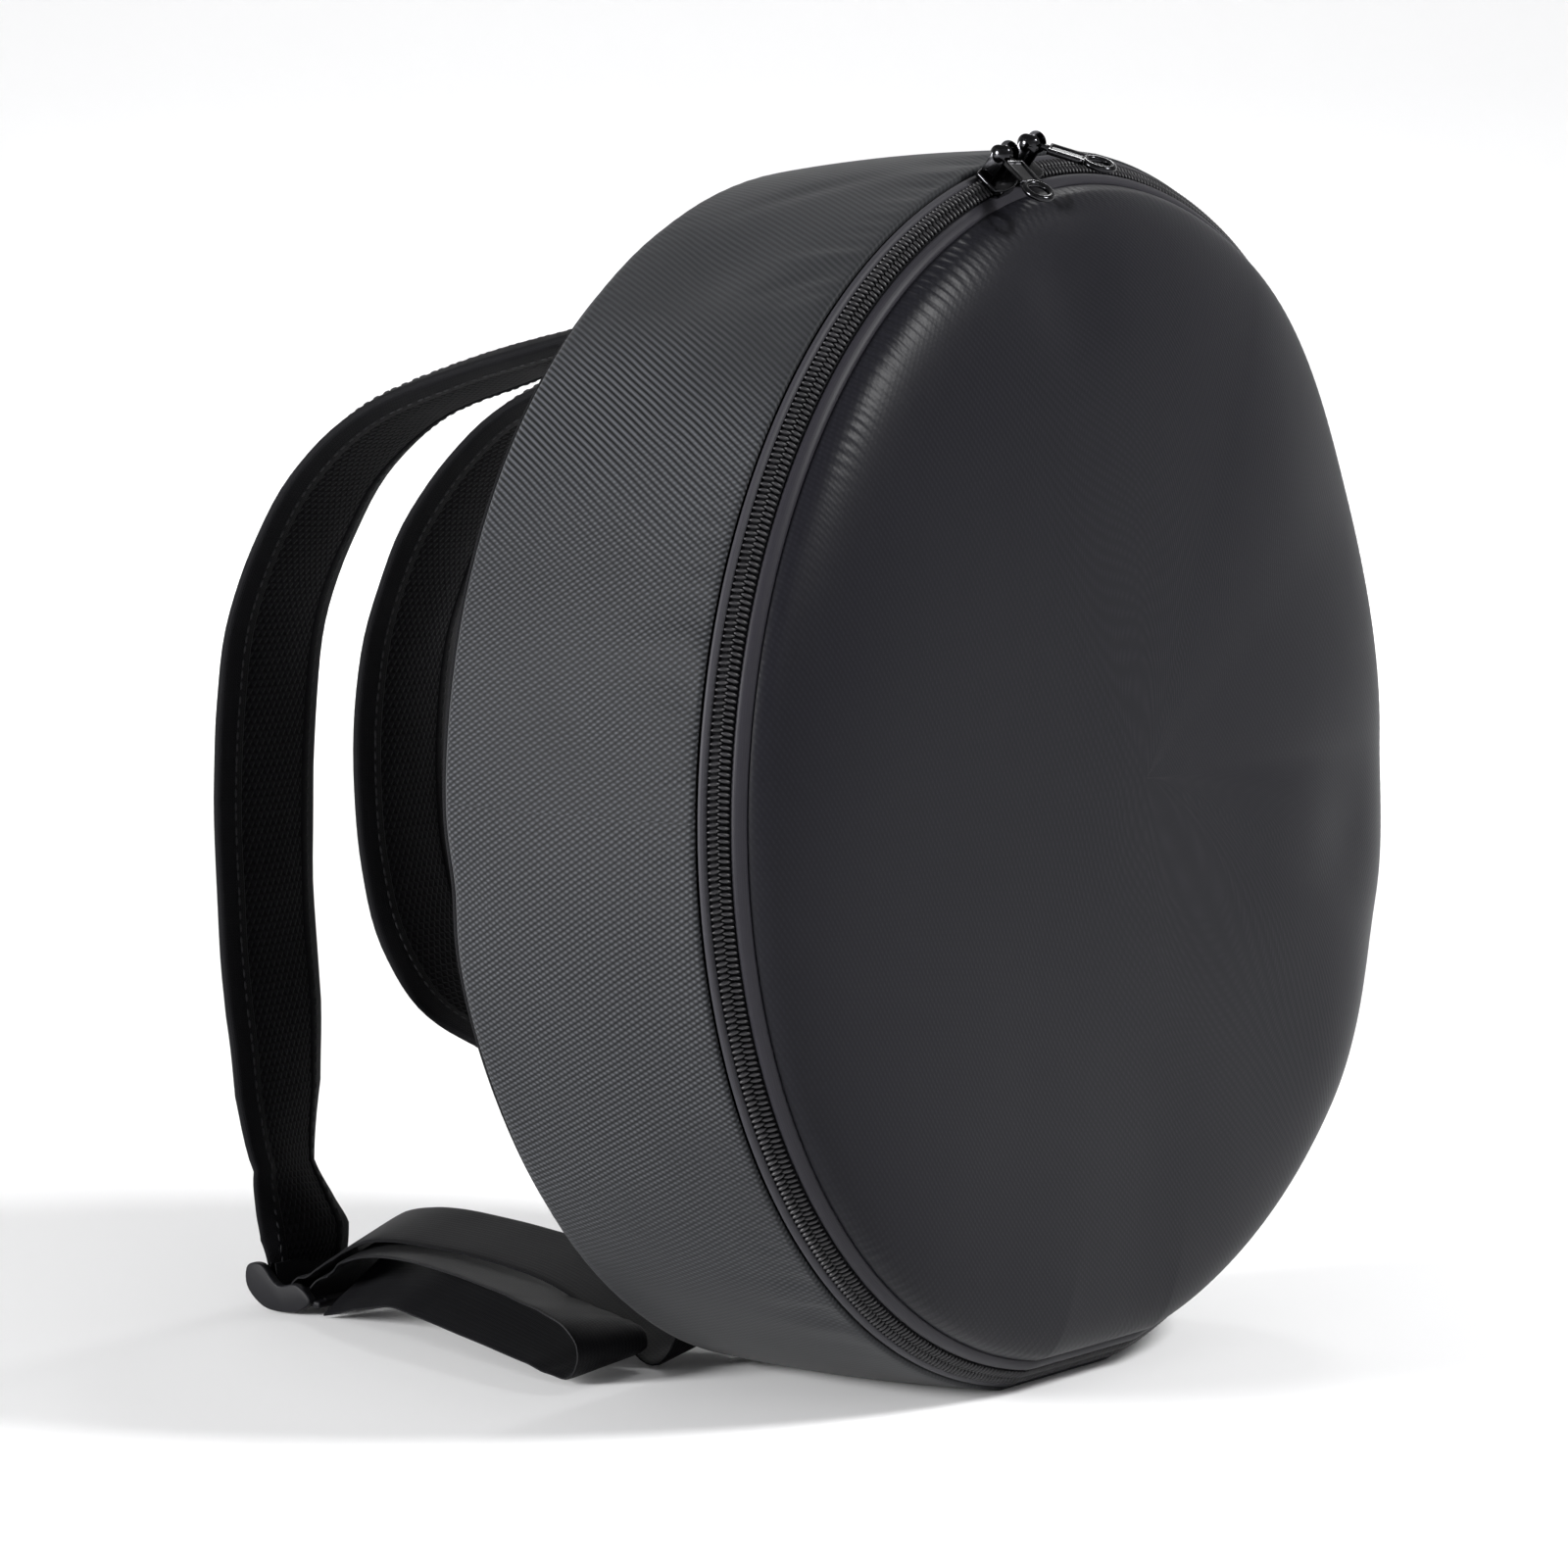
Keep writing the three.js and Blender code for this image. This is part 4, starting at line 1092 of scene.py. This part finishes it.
nearStrapRows = strapTop + table(
    "y z wide thick cant",
    (0.262, 0.292, 1, 1, 0),
    (0.28, 0.268, 1, 1, 0),
    (0.293, 0.241, 1, 1, 0),
    (0.2987, 0.211, 1, 1, 0),
    (0.3008, 0.177, 1, 1, 0),
    (0.3, 0.136, 0.99, 1, -1),
    (0.2972, 0.102, 0.99, 1, -2),
    (0.2952, 0.074, 0.98, 0.97, -6),
    (0.293, 0.047, 0.95, 0.88, -18),
    (0.2876, 0.035, 0.88, 0.78, -6),
    (0.2826, 0.025, 0.81, 0.62, 6),
    (0.2824, 0.015, 0.72, 0.42, 6),
)
farStrapRows = strapTop + table(
    "y z wide thick",
    (0.263, 0.291, 1, 1),
    (0.283, 0.267, 1, 1),
    (0.297, 0.239, 1, 1),
    (0.3045, 0.209, 1, 1),
    (0.306, 0.173, 1, 1),
    (0.303, 0.145, 1, 1),
    (0.294, 0.118, 1, 1),
    (0.278, 0.098, 0.98, 0.95),
    (0.257, 0.087, 0.94, 0.89),
    (0.238, 0.08, 0.86, 0.74),
    (0.227, 0.0764, 0.76, 0.53),
)


def throughPoints(points, perSpan):  # a centripetal curve through the points, evenly stepped in each span
    points = np.array(points)
    ends = np.vstack([2 * points[0] - points[1], points, 2 * points[-1] - points[-2]])
    shares = np.arange(perSpan) / perSpan
    made = []
    for a, b, c, d in zip(ends, ends[1:], ends[2:], ends[3:]):
        gaps = [max(np.linalg.norm(q - p) ** 0.5, leastGap) for p, q in ((a, b), (b, c), (c, d))]
        leave = ((b - a) / gaps[0] - (c - a) / (gaps[0] + gaps[1]) + (c - b) / gaps[1]) * gaps[1]
        reach = ((c - b) / gaps[1] - (d - b) / (gaps[1] + gaps[2]) + (d - c) / gaps[2]) * gaps[1]
        for t in shares:
            made.append(b + leave * t + (3 * (c - b) - 2 * leave - reach) * t * t
                        + (2 * (b - c) + leave + reach) * t ** 3)
    made.append(points[-1])
    return np.array(made)


def stations(rows, perSpan):  # place, across, through and sizes at each step of a centre line
    line = throughPoints([(row["x"], row["y"] + frontSeam, row["z"]) for row in rows], perSpan)
    steps = np.arange(len(line)) / perSpan
    known = np.arange(len(rows))
    size = {key: np.interp(steps, known, [row[key] for row in rows]) for key in ("width", "thick", "cant")}
    tangent = np.gradient(line, axis=0)
    made = []
    for place, way, width, thick, cant in zip(line, tangent, size["width"], size["thick"], size["cant"]):
        way = Vector(way).normalized()
        across = (Vector((1, 0, 0)) - way * way.x).normalized()
        across.rotate(Matrix.Rotation(math.radians(cant), 3, way))
        made.append((np.array(place), np.array(across), np.array(way.cross(across)), width, thick))
    return made


def signedPower(value, power):
    return math.copysign(abs(value) ** power, value)


def strapCorner(turn, width, thick, grow):  # a place on the strap's soft section, as (across, through)
    across = signedPower(math.cos(turn), strap["acrossPower"])
    crown = strap["edgeShare"] + (1 - strap["edgeShare"]) * (1 - abs(across) ** strap["crownPower"])
    through = signedPower(math.sin(turn), strap["throughPower"]) * crown
    return across * (width / 2 + grow), through * (thick / 2 + grow)


def ringsOf(line, section):  # section(width, thick) gives the corners at one station
    rings = []
    for place, across, through, width, thick in line:
        rings.append([place + a * across + b * through for a, b in section(width, thick)])
    return np.array(rings)


def slacken(rings, throughs, shares):  # soft waves along a strap, and crumples towards its buckle
    soft = ripple(rings.reshape(-1, 3), strap["waveScale"], strap["waveSeed"]).reshape(rings.shape[:2])
    crumpled = smooth(shares, *strap["crumpleFrom"])
    reach = strap["wave"] + strap["crumple"] * crumpled * (1 - smooth(shares, *strap["crumpleTo"]))
    for ring, push, size, through in zip(rings, soft, reach, throughs):
        ring += np.outer(push * size, through)
    return rings


def makeStrap(name, node, rows, side):
    sized = []
    for row in rows:
        width, thick = strap["width"] * row["wide"], strap["thickness"] * row["thick"]
        place = dict(x=side * strap["centre"], y=row["y"], z=row["z"])
        sized.append(dict(width=width, thick=thick, cant=row.get("cant", 0), **place))
    line = stations(sized, strap["perSpan"])
    throughs, shares = [station[2] for station in line], np.linspace(0, 1, len(line))
    turns = [2 * math.pi * corner / strap["corners"] for corner in range(strap["corners"])]

    def padding(width, thick):
        return [strapCorner(turn, width - strap["padInset"], thick, 0) for turn in turns]

    bm = rollGrid(slacken(ringsOf(line, padding), throughs, shares))
    for face in bm.faces:  # the wearer's side is mesh, the outside is cloth
        corners = [loop.vert.co for loop in face.loops]
        middle = sum(corners, Vector()) / len(corners)
        nearest = min(line, key=lambda station: (Vector(station[0]) - middle).length)
        face.material_index = 0 if (middle - Vector(nearest[0])).dot(Vector(nearest[2])) > 0 else 1
    piece = addPiece(f"strapPad{name}", bm, ["strapMesh", "strapCloth"], replaces=[node])

    edges = []
    wrap, steps = math.radians(strap["bindingWrap"]), strap["bindingSteps"]
    for middle in (0, math.pi):
        spread = [middle + wrap * (2 * step / steps - 1) for step in range(steps + 1)]

        def tape(width, thick):
            outer = [strapCorner(turn, width, thick, strap["bindingThick"]) for turn in spread]
            inside, sunk = width - strap["padInset"], -strap["bindingSunk"]
            return outer + [strapCorner(turn, inside, thick, sunk) for turn in reversed(spread)]

        edges.append(rollGrid(slacken(ringsOf(line, tape), throughs, shares)))
    joinInto(edges[0], edges[1])
    addPiece(f"strapBinding{name}", edges[0], "bindingTape")

    seams = []
    fine = stations(sized, strap["stitchPerSpan"])
    for turn in strap["stitchTurns"]:
        travelled, nextAt = 0.0, strap["stitchFrom"]
        for index, (here, there) in enumerate(zip(fine, fine[1:])):
            travelled += np.linalg.norm(there[0] - here[0])
            if travelled < nextAt:
                continue
            nextAt += strap["stitchPitch"]
            place, across, through, width, thick = here
            a, b = strapCorner(math.radians(turn), width, thick, strap["bindingThick"])
            spot, up = place + a * across + b * through, through * math.copysign(1, b)
            seams.append((spot, there[0] - here[0], up, through, index / len(fine)))
    spots, ways, ups, throughs, shares = zip(*seams)
    spots = slacken(np.array(spots)[:, None, :], throughs, np.array(shares))[:, 0]
    frames = [frameOf(*seam) for seam in zip(spots, ways, ups)]
    thick = strap["stitchThick"]
    shape = grainShape(strap["stitchLength"], thick, thick, strap["stitchAround"], strap["stitchRows"])
    addPiece(f"strapStitches{name}", repeatShape(shape, frames), "thread", turnOut=False)


makeStrap("Near", "strap_near", nearStrapRows, -1)
makeStrap("Far", "strap_far", farStrapRows, 1)


# Ladder-lock buckles, with the webbing threaded through and a tab on the strap's end

webbing = dict(
    width=0.038,
    thickness=0.0014,
    corners=24,
    acrossPower=0.35,
    throughPower=0.5,
    perSpan=7,
    crease=50,
)
tab = dict(
    thickness=0.0012,
    waistAt=0.55,
    waist=0.0019,
    end=0.001,
    foldBends=range(60, 301, 30),
    gap=0.0004,
    sewnIn=0.0015,
    perSpan=4,
)
buckle = dict(
    inside=0.0392,
    cheek=0.0035,
    cheekSteps=5,
    strapBar=0.012,
    strapBarRadius=0.0022,
    middleBarRadius=0.002,
    barSegments=20,
    lipFrom=-0.006,
    lipTo=-0.0115,
    lipThickness=0.0024,
    lipDrop=0.0008,
    lipBevel=0.0008,
    ridges=2,
    ridgeRadius=0.0006,
    ridgePitch=0.0017,
    ridgeInset=0.003,
    ridgeSegments=8,
    bevel=0.0009,
    bevelSteps=3,
    crease=40,
)
cheekOutline = [  # a crescent with its hollow towards the strap, as (along, up) from the middle bar
    (-0.0085, 0.0004),
    (-0.0016, 0.0047),
    (0.0064, 0.0027),
    (0.0148, 0.0083),
    (0.0206, 0.0066),
    (0.0202, -0.0004),
    (0.012, -0.0062),
    (0.002, -0.006),
    (-0.0054, -0.0034),
]
nearBuckle = dict(x=-strap["centre"], y=0.271, z=0.0064, tilt=7)
farBuckle = dict(x=strap["centre"], y=0.2066, z=0.0698, tilt=18)
threadRows = table(  # in the buckle's own frame: along points to the strap, up to the wearer
    "along up",
    (0.0012, 0.0058),
    (0.0035, 0.0031),
    (0.004, -0.0002),
    (0.0025, -0.003),
    (-0.0005, -0.0038),
    (-0.0032, -0.0022),
    (-0.0041, 0.0006),
    (-0.0048, 0.0036),
)
nearToBuckle = table(
    "aside y z cant",
    (-0.006, 0.1035, 0.0136, 0),
    (-0.0065, 0.1064, 0.0114, -3),
    (-0.007, 0.1096, 0.0068, -6),
    (-0.0075, 0.114, 0.0037, -8),
    (-0.0065, 0.124, 0.0086, -8),
    (-0.005, 0.136, 0.0152, -7),
    (-0.0035, 0.149, 0.0214, -7),
    (-0.0016, 0.165, 0.026, -7),
    (0, 0.192, 0.0298, -7),
    (0, 0.213, 0.0316, -8),
    (0, 0.229, 0.0322, -9),
    (0, 0.241, 0.0312, -10),
    (0, 0.251, 0.0282, -13),
    (0, 0.2585, 0.0238, -13),
    (0, 0.2645, 0.0186, -9),
    (0, 0.2686, 0.014, -4),
)
nearTail = table(
    "aside y z cant",
    (0, 0.2632, 0.0138, 4),
    (-0.0005, 0.259, 0.0184, 11),
    (-0.0025, 0.251, 0.0234, 14),
    (-0.0065, 0.2395, 0.026, 11),
    (-0.0125, 0.221, 0.0266, 2),
    (-0.0195, 0.201, 0.0258, -4),
    (-0.0295, 0.173, 0.0236, -9),
    (-0.04, 0.145, 0.021, -12),
    (-0.046, 0.1285, 0.0194, -10),
    (-0.0476, 0.1195, 0.017, -6),
    (-0.0476, 0.1146, 0.0122, -1),
    (-0.0476, 0.1146, 0.0074, 0),
    (-0.0474, 0.118, 0.0042, -4),
    (-0.0464, 0.1245, 0.0048, -7),
    (-0.043, 0.135, 0.0068, -9),
    (-0.0365, 0.1535, 0.0094, -12),
    (-0.03, 0.1725, 0.0118, -15),
    (-0.0205, 0.2, 0.0148, -18),
    (-0.015, 0.217, 0.016, -19),
    (-0.0098, 0.235, 0.0136, -21),
    (-0.005, 0.25, 0.0108, -25),
    (-0.004, 0.2574, 0.0098, -27),
)
farToBuckle = table(
    "y z",
    (0.1035, 0.0126),
    (0.108, 0.0124),
    (0.118, 0.015),
    (0.134, 0.029),
    (0.156, 0.05),
    (0.178, 0.066),
    (0.194, 0.0732),
)
farTail = table(
    "y z",
    (0.192, 0.0676),
    (0.184, 0.0615),
    (0.179, 0.049),
    (0.176, 0.031),
    (0.172, 0.014),
    (0.163, 0.0036),
    (0.149, 0.001),
    (0.124, 0.0009),
)


def besideBuckle(at, along, up):
    tilt = math.radians(at["tilt"])
    return dict(
        y=at["y"] + along * math.cos(tilt) - up * math.sin(tilt),
        z=at["z"] + along * math.sin(tilt) + up * math.cos(tilt))


def flatCorners(width, thick):  # a band with rounded edges
    made = []
    for corner in range(webbing["corners"]):
        turn = 2 * math.pi * (corner + 0.5) / webbing["corners"]
        across = signedPower(math.cos(turn), webbing["acrossPower"]) * width / 2
        made.append((across, signedPower(math.sin(turn), webbing["throughPower"]) * thick / 2))
    return made


def makeWebbing(name, node, at, toBuckle, tail):
    thread = [besideBuckle(at, row["along"], row["up"]) for row in threadRows]
    rows = []
    for row in toBuckle + thread + tail:
        size = dict(width=webbing["width"], thick=webbing["thickness"], cant=row.get("cant", 0))
        rows.append(dict(x=at["x"] + row.get("aside", 0), y=row["y"], z=row["z"], **size))
    bm = rollGrid(ringsOf(stations(rows, webbing["perSpan"]), flatCorners))
    addPiece(f"webbing{name}", bm, "webbing", replaces=[node], crease=webbing["crease"])


def makeTab(name, node, at, strapRows):
    bar = besideBuckle(at, buckle["strapBar"], 0)
    end = strapRows[-1]
    reach = Vector((end["y"] - bar["y"], end["z"] - bar["z"]))
    length = reach.length + tab["sewnIn"]
    along = reach.normalized()
    fold = buckle["strapBarRadius"] + tab["gap"] + tab["thickness"] / 2
    places = [(length, tab["end"]), (length * tab["waistAt"], tab["waist"])]
    for bend in tab["foldBends"]:
        places.append((fold * math.cos(math.radians(bend)), fold * math.sin(math.radians(bend))))
    places += [(length * tab["waistAt"], -tab["waist"]), (length, -tab["end"])]
    rows = []
    for a, b in places:
        y = bar["y"] + a * along.x - b * along.y
        z = bar["z"] + a * along.y + b * along.x
        rows.append(dict(x=at["x"], y=y, z=z, width=webbing["width"], thick=tab["thickness"], cant=0))
    bm = rollGrid(ringsOf(stations(rows, tab["perSpan"]), flatCorners))
    addPiece(f"strapTab{name}", bm, "bindingTape", replaces=[node], crease=webbing["crease"])


def closedCurve(points, perSpan):  # the same kind of curve, closed on itself
    around = points[-1:] + points + points[:2]
    return throughPoints(around, perSpan)[perSpan:-perSpan - 1]


bevelAbove = math.radians(35)
bevelProfile = 0.5  # a round edge


def bevelSharp(bm, verts, offset, segments):  # rounds the sharp edges at some vertices
    edges = {edge for vert in verts for edge in vert.link_edges}
    sharp = [edge for edge in edges if edge.is_manifold and edge.calc_face_angle(0) > bevelAbove]
    bmesh.ops.bevel(
        bm, geom=sharp, offset=offset, segments=segments, profile=bevelProfile, affect="EDGES", material=-1,
        clamp_overlap=True)


def addPlate(bm, outline, low, high, bevel, segments):  # outline is (y, z) places, extruded along X
    verts = [bm.verts.new((low, y, z)) for y, z in outline]
    face = bm.faces.new(verts)
    made = bmesh.ops.extrude_face_region(bm, geom=[face])["geom"]
    tops = [item for item in made if isinstance(item, bmesh.types.BMVert)]
    bmesh.ops.translate(bm, verts=tops, vec=(high - low, 0, 0))
    bevelSharp(bm, verts + tops, bevel, segments)


def addRod(bm, radius, low, high, y, z, segments):  # a round bar along X
    place = Matrix.Translation(((low + high) / 2, y, z)) @ Matrix.Rotation(math.pi / 2, 4, "Y")
    size = dict(radius1=radius, radius2=radius, depth=high - low)
    bmesh.ops.create_cone(bm, cap_ends=True, segments=segments, matrix=place, **size)


def addBlock(bm, low, high, bevel, segments):
    low, high = Vector(low), Vector(high)
    matrix = Matrix.Translation((low + high) / 2) @ Matrix.Diagonal((*(high - low), 1))
    verts = bmesh.ops.create_cube(bm, size=1.0, matrix=matrix)["verts"]
    bevelSharp(bm, verts, bevel, segments)


def curve(start, bend, end, steps):  # places on a quadratic curve, without its start
    made = []
    for step in range(1, steps + 1):
        t = step / steps
        parts = zip(start, bend, end)
        made.append(tuple((1 - t) ** 2 * a + 2 * t * (1 - t) * b + t * t * c for a, b, c in parts))
    return made


def makeBuckle(name, node, at):
    lipTop = buckle["lipThickness"] / 2 - buckle["lipDrop"]
    lipUnder = -buckle["lipThickness"] / 2 - buckle["lipDrop"]
    half = buckle["inside"] / 2
    into = half + buckle["cheek"] / 2
    bm = bmesh.new()
    for low in (-half - buckle["cheek"], half):
        side = closedCurve(cheekOutline, buckle["cheekSteps"])
        addPlate(bm, side, low, low + buckle["cheek"], buckle["bevel"], buckle["bevelSteps"])
    addRod(bm, buckle["strapBarRadius"], -into, into, buckle["strapBar"], 0, buckle["barSegments"])
    addRod(bm, buckle["middleBarRadius"], -into, into, 0, 0, buckle["barSegments"])
    lipEnd, lipStart = buckle["lipTo"], buckle["lipFrom"]
    bevel = (buckle["lipBevel"], buckle["bevelSteps"])
    addBlock(bm, (-into, lipEnd, lipUnder), (into, lipStart, lipTop), *bevel)
    reach = half - buckle["ridgeInset"]
    for ridge in range(1, buckle["ridges"] + 1):
        y = lipEnd + ridge * buckle["ridgePitch"]
        addRod(bm, buckle["ridgeRadius"], -reach, reach, y, lipTop, buckle["ridgeSegments"])
    seat = Matrix.Translation((at["x"], at["y"] + frontSeam, at["z"]))
    bmesh.ops.transform(bm, matrix=seat @ Matrix.Rotation(math.radians(at["tilt"]), 4, "X"), verts=bm.verts)
    addPiece(f"buckle{name}", bm, "bucklePlastic", replaces=[node], crease=buckle["crease"])


makeWebbing("Near", "webbing_near", nearBuckle, nearToBuckle, nearTail)
makeWebbing("Far", "webbing_far", farBuckle, farToBuckle, farTail)
makeTab("Near", "strap_tab_near", nearBuckle, nearStrapRows)
makeTab("Far", "strap_tab_far", farBuckle, farStrapRows)
makeBuckle("Near", "buckle_near", nearBuckle)
makeBuckle("Far", "buckle_far", farBuckle)


# Zip sliders with round ears, and their pulls

slider = dict(
    length=0.014,
    width=0.011,
    endWidth=0.0079,
    shoulderAt=0.0042,
    plate=0.002,
    railFrom=0.0053,
    rail=0.00175,
    railLength=0.0084,
    clearance=0.00035,
    coilHeight=0.0011,
    coilMiddle=0.0077,
    sink=0.001,  # how far a rail or an ear's foot reaches into the plate
    curveSteps=6,
    plateBevel=(0.0006, 3),  # bevels are a size and a count of steps
    railBevel=(0.0004, 2),
    crease=40,
)
ear = dict(
    inside=0.0029,
    footTo=0.0041,
    ball=0.0046,
    foot=0.0024,
    footBevel=(0.0003, 2),
    axisAbovePlate=0.0078,
    axisBack=0.0024,
    pin=0.0008,
    pinSink=0.0008,
    pinSegments=14,
    rows=8,
    steps=32,
)
pull = dict(
    length=0.028,
    barWidth=0.0066,
    barFrom=0.0056,
    eyeWidth=0.0104,
    eyeLength=0.0116,
    flareFrom=0.0064,
    flareTo=0.0042,
    flareWidth=0.0086,
    wire=0.00108,
    thickness=0.002,
    neck=0.0016,
    neckSink=0.001,
    neckBevel=(0.0004, 2),
    bead=0.0028,
    beadRows=12,
    beadSteps=32,
    beadMouth=0.002,
    pinHole=0.0016,
    rim=0.0011,
    recess=0.0005,
    recessWall=0.0003,
    bevel=0.00045,
    bevelSteps=3,
    flareSteps=4,
    faceUp=0.9,
    wireSegments=14,
    ringSteps=40,
)
sliderPlaces = [
    dict(name="Left", angle=sliderAngles[0], yaw=-27, lift=14, slider="slider_left", pull="pull_left"),
    dict(name="Right", angle=sliderAngles[1], yaw=21, lift=20, slider="slider_right", pull="pull_right"),
]
sliderBase = slider["coilHeight"] + slider["clearance"]
plateTop = sliderBase + slider["plate"]
pullAxis = plateTop + ear["axisAbovePlate"]


def sliderFrame(angle):  # x along the zip, z off the band, -y towards the front panel
    turn = math.radians(angle)
    radius, depth = onBand(slider["coilMiddle"], 0)
    here = np.array([[radius * math.cos(turn), depth, radius * math.sin(turn)]])
    seam, lifted = onBand(0, 0), onBand(0, 1)
    outward = Vector((math.cos(turn), 0, math.sin(turn)))
    up = outward * (lifted[0] - seam[0]) + Vector((0, lifted[1] - seam[1], 0))
    return frameOf(toFrame(settle(here))[0], (math.sin(turn), 0, -math.cos(turn)), up)


def turnRound(bm, rows, y, z, steps, close=False):  # rows of (x, radius), turned round the pin
    verts = [bm.verts.new((x, y + radius, z)) for x, radius in rows]
    spinRound(bm, verts + chain(bm, verts, close), (0, y, z), (1, 0, 0), steps)


def layFlat(bm):  # a plate made along X comes to lie in XY: (height, along, across)
    bmesh.ops.transform(bm, matrix=Matrix(((0, 1, 0), (0, 0, 1), (1, 0, 0))).to_4x4(), verts=bm.verts)


def makeSlider(row):
    half, wide, end = slider["length"] / 2, slider["width"] / 2, slider["endWidth"] / 2
    shoulder, steps = slider["shoulderAt"], slider["curveSteps"]
    outline = [(-half, -end)]
    outline += curve((-half, -end), (-shoulder, -wide), (0, -wide), steps)
    outline += curve((0, -wide), (shoulder, -wide), (half, -end), steps)
    outline += [(half, end)]
    outline += curve((half, end), (shoulder, wide), (0, wide), steps)
    outline += curve((0, wide), (-shoulder, wide), (-half, end), steps)[:-1]
    bm = bmesh.new()
    addPlate(bm, outline, sliderBase, plateTop, *slider["plateBevel"])
    layFlat(bm)
    inside = math.acos(ear["inside"] / ear["ball"])
    for hand in (-1, 1):
        rails = sorted((hand * slider["railFrom"], hand * (slider["railFrom"] - slider["rail"])))
        length, railTop = slider["railLength"] / 2, sliderBase + slider["sink"]
        low, high = (-length, rails[0], slider["clearance"]), (length, rails[1], railTop)
        addBlock(bm, low, high, *slider["railBevel"])
        sides = sorted((hand * ear["inside"], hand * ear["footTo"]))
        foot = [ear["axisBack"] - ear["foot"], ear["axisBack"] + ear["foot"]]
        low, high = (sides[0], foot[0], plateTop - slider["sink"]), (sides[1], foot[1], pullAxis)
        addBlock(bm, low, high, *ear["footBevel"])
        cap = [(hand * ear["inside"], 0)]
        for step in range(ear["rows"] + 1):
            turn = inside * (1 - step / ear["rows"])
            cap.append((hand * ear["ball"] * math.cos(turn), ear["ball"] * math.sin(turn)))
        turnRound(bm, cap, ear["axisBack"], pullAxis, ear["steps"])
    pinEnd = ear["inside"] + ear["pinSink"]
    addRod(bm, ear["pin"], -pinEnd, pinEnd, ear["axisBack"], pullAxis, ear["pinSegments"])
    bmesh.ops.transform(bm, matrix=sliderFrame(row["angle"]), verts=bm.verts)
    name, node = f"slider{row['name']}", row["slider"]
    addPiece(name, bm, "blackNickel", replaces=[node], crease=slider["crease"])


def eyeRing(eyeAt):  # an oval ring of round wire
    ring = bmesh.new()
    wire = bmesh.ops.create_circle(ring, segments=pull["wireSegments"], radius=pull["wire"])["verts"]
    bmesh.ops.rotate(ring, verts=wire, cent=(0, 0, 0), matrix=Matrix.Rotation(math.pi / 2, 3, "X"))
    reach = pull["eyeWidth"] / 2 - pull["wire"]
    bmesh.ops.translate(ring, verts=wire, vec=(reach, 0, 0))
    spinRound(ring, ring.verts[:] + ring.edges[:], (0, 0, 0), (0, 0, 1), pull["ringSteps"])
    bmesh.ops.scale(ring, verts=ring.verts, vec=(1, pull["eyeLength"] / pull["eyeWidth"], 1))
    bmesh.ops.translate(ring, verts=ring.verts, vec=(0, eyeAt, 0))
    return ring


def makePull(row):
    wide, top = pull["barWidth"] / 2, pull["thickness"] / 2
    eyeAt = pull["eyeLength"] / 2 - pull["length"]
    flare, end, reach = eyeAt + pull["flareFrom"], eyeAt + pull["flareTo"], pull["flareWidth"] / 2
    bend, steps = (flare + end) / 2, pull["flareSteps"]
    outline = [(-wide, -pull["barFrom"]), (wide, -pull["barFrom"]), (wide, flare)]
    outline += curve((wide, flare), (wide, bend), (reach, end), steps)
    outline += [(-reach, end)]
    outline += curve((-reach, end), (-wide, bend), (-wide, flare), steps)
    bm = bmesh.new()
    addPlate(bm, outline, -top, top, pull["bevel"], pull["bevelSteps"])
    layFlat(bm)
    bmesh.ops.recalc_face_normals(bm, faces=bm.faces)
    upper = [face for face in bm.faces if face.normal.z > pull["faceUp"]]
    face = max(upper, key=lambda each: each.calc_area())
    bmesh.ops.inset_individual(bm, faces=[face], thickness=pull["rim"] - pull["bevel"], depth=0)
    bmesh.ops.inset_individual(bm, faces=[face], thickness=pull["recessWall"], depth=-pull["recess"])
    joinInto(bm, eyeRing(eyeAt))
    neck = pull["neck"] / 2
    low, high = (-neck, -pull["barFrom"] - pull["neckSink"], -top), (neck, -pull["beadMouth"], top)
    addBlock(bm, low, high, *pull["neckBevel"])
    mouth = math.asin(pull["beadMouth"] / pull["bead"])
    bead = []
    for step in range(pull["beadRows"] + 1):
        turn = mouth + (math.pi - 2 * mouth) * step / pull["beadRows"]
        bead.append((-pull["bead"] * math.cos(turn), pull["bead"] * math.sin(turn)))
    bead += [(neck, pull["pinHole"]), (-neck, pull["pinHole"])]
    turnRound(bm, bead, 0, 0, pull["beadSteps"], close=True)
    lifted = Matrix.Rotation(math.radians(-row["lift"]), 4, "X")
    swing = lifted @ Matrix.Rotation(math.radians(row["yaw"]), 4, "Z")
    place = sliderFrame(row["angle"]) @ Matrix.Translation((0, ear["axisBack"], pullAxis)) @ swing
    bmesh.ops.transform(bm, matrix=place, verts=bm.verts)
    name, node = f"pull{row['name']}", row["pull"]
    addPiece(name, bm, "blackNickel", body=node, replaces=[node], crease=slider["crease"])


for row in sliderPlaces:
    makeSlider(row)
    makePull(row)
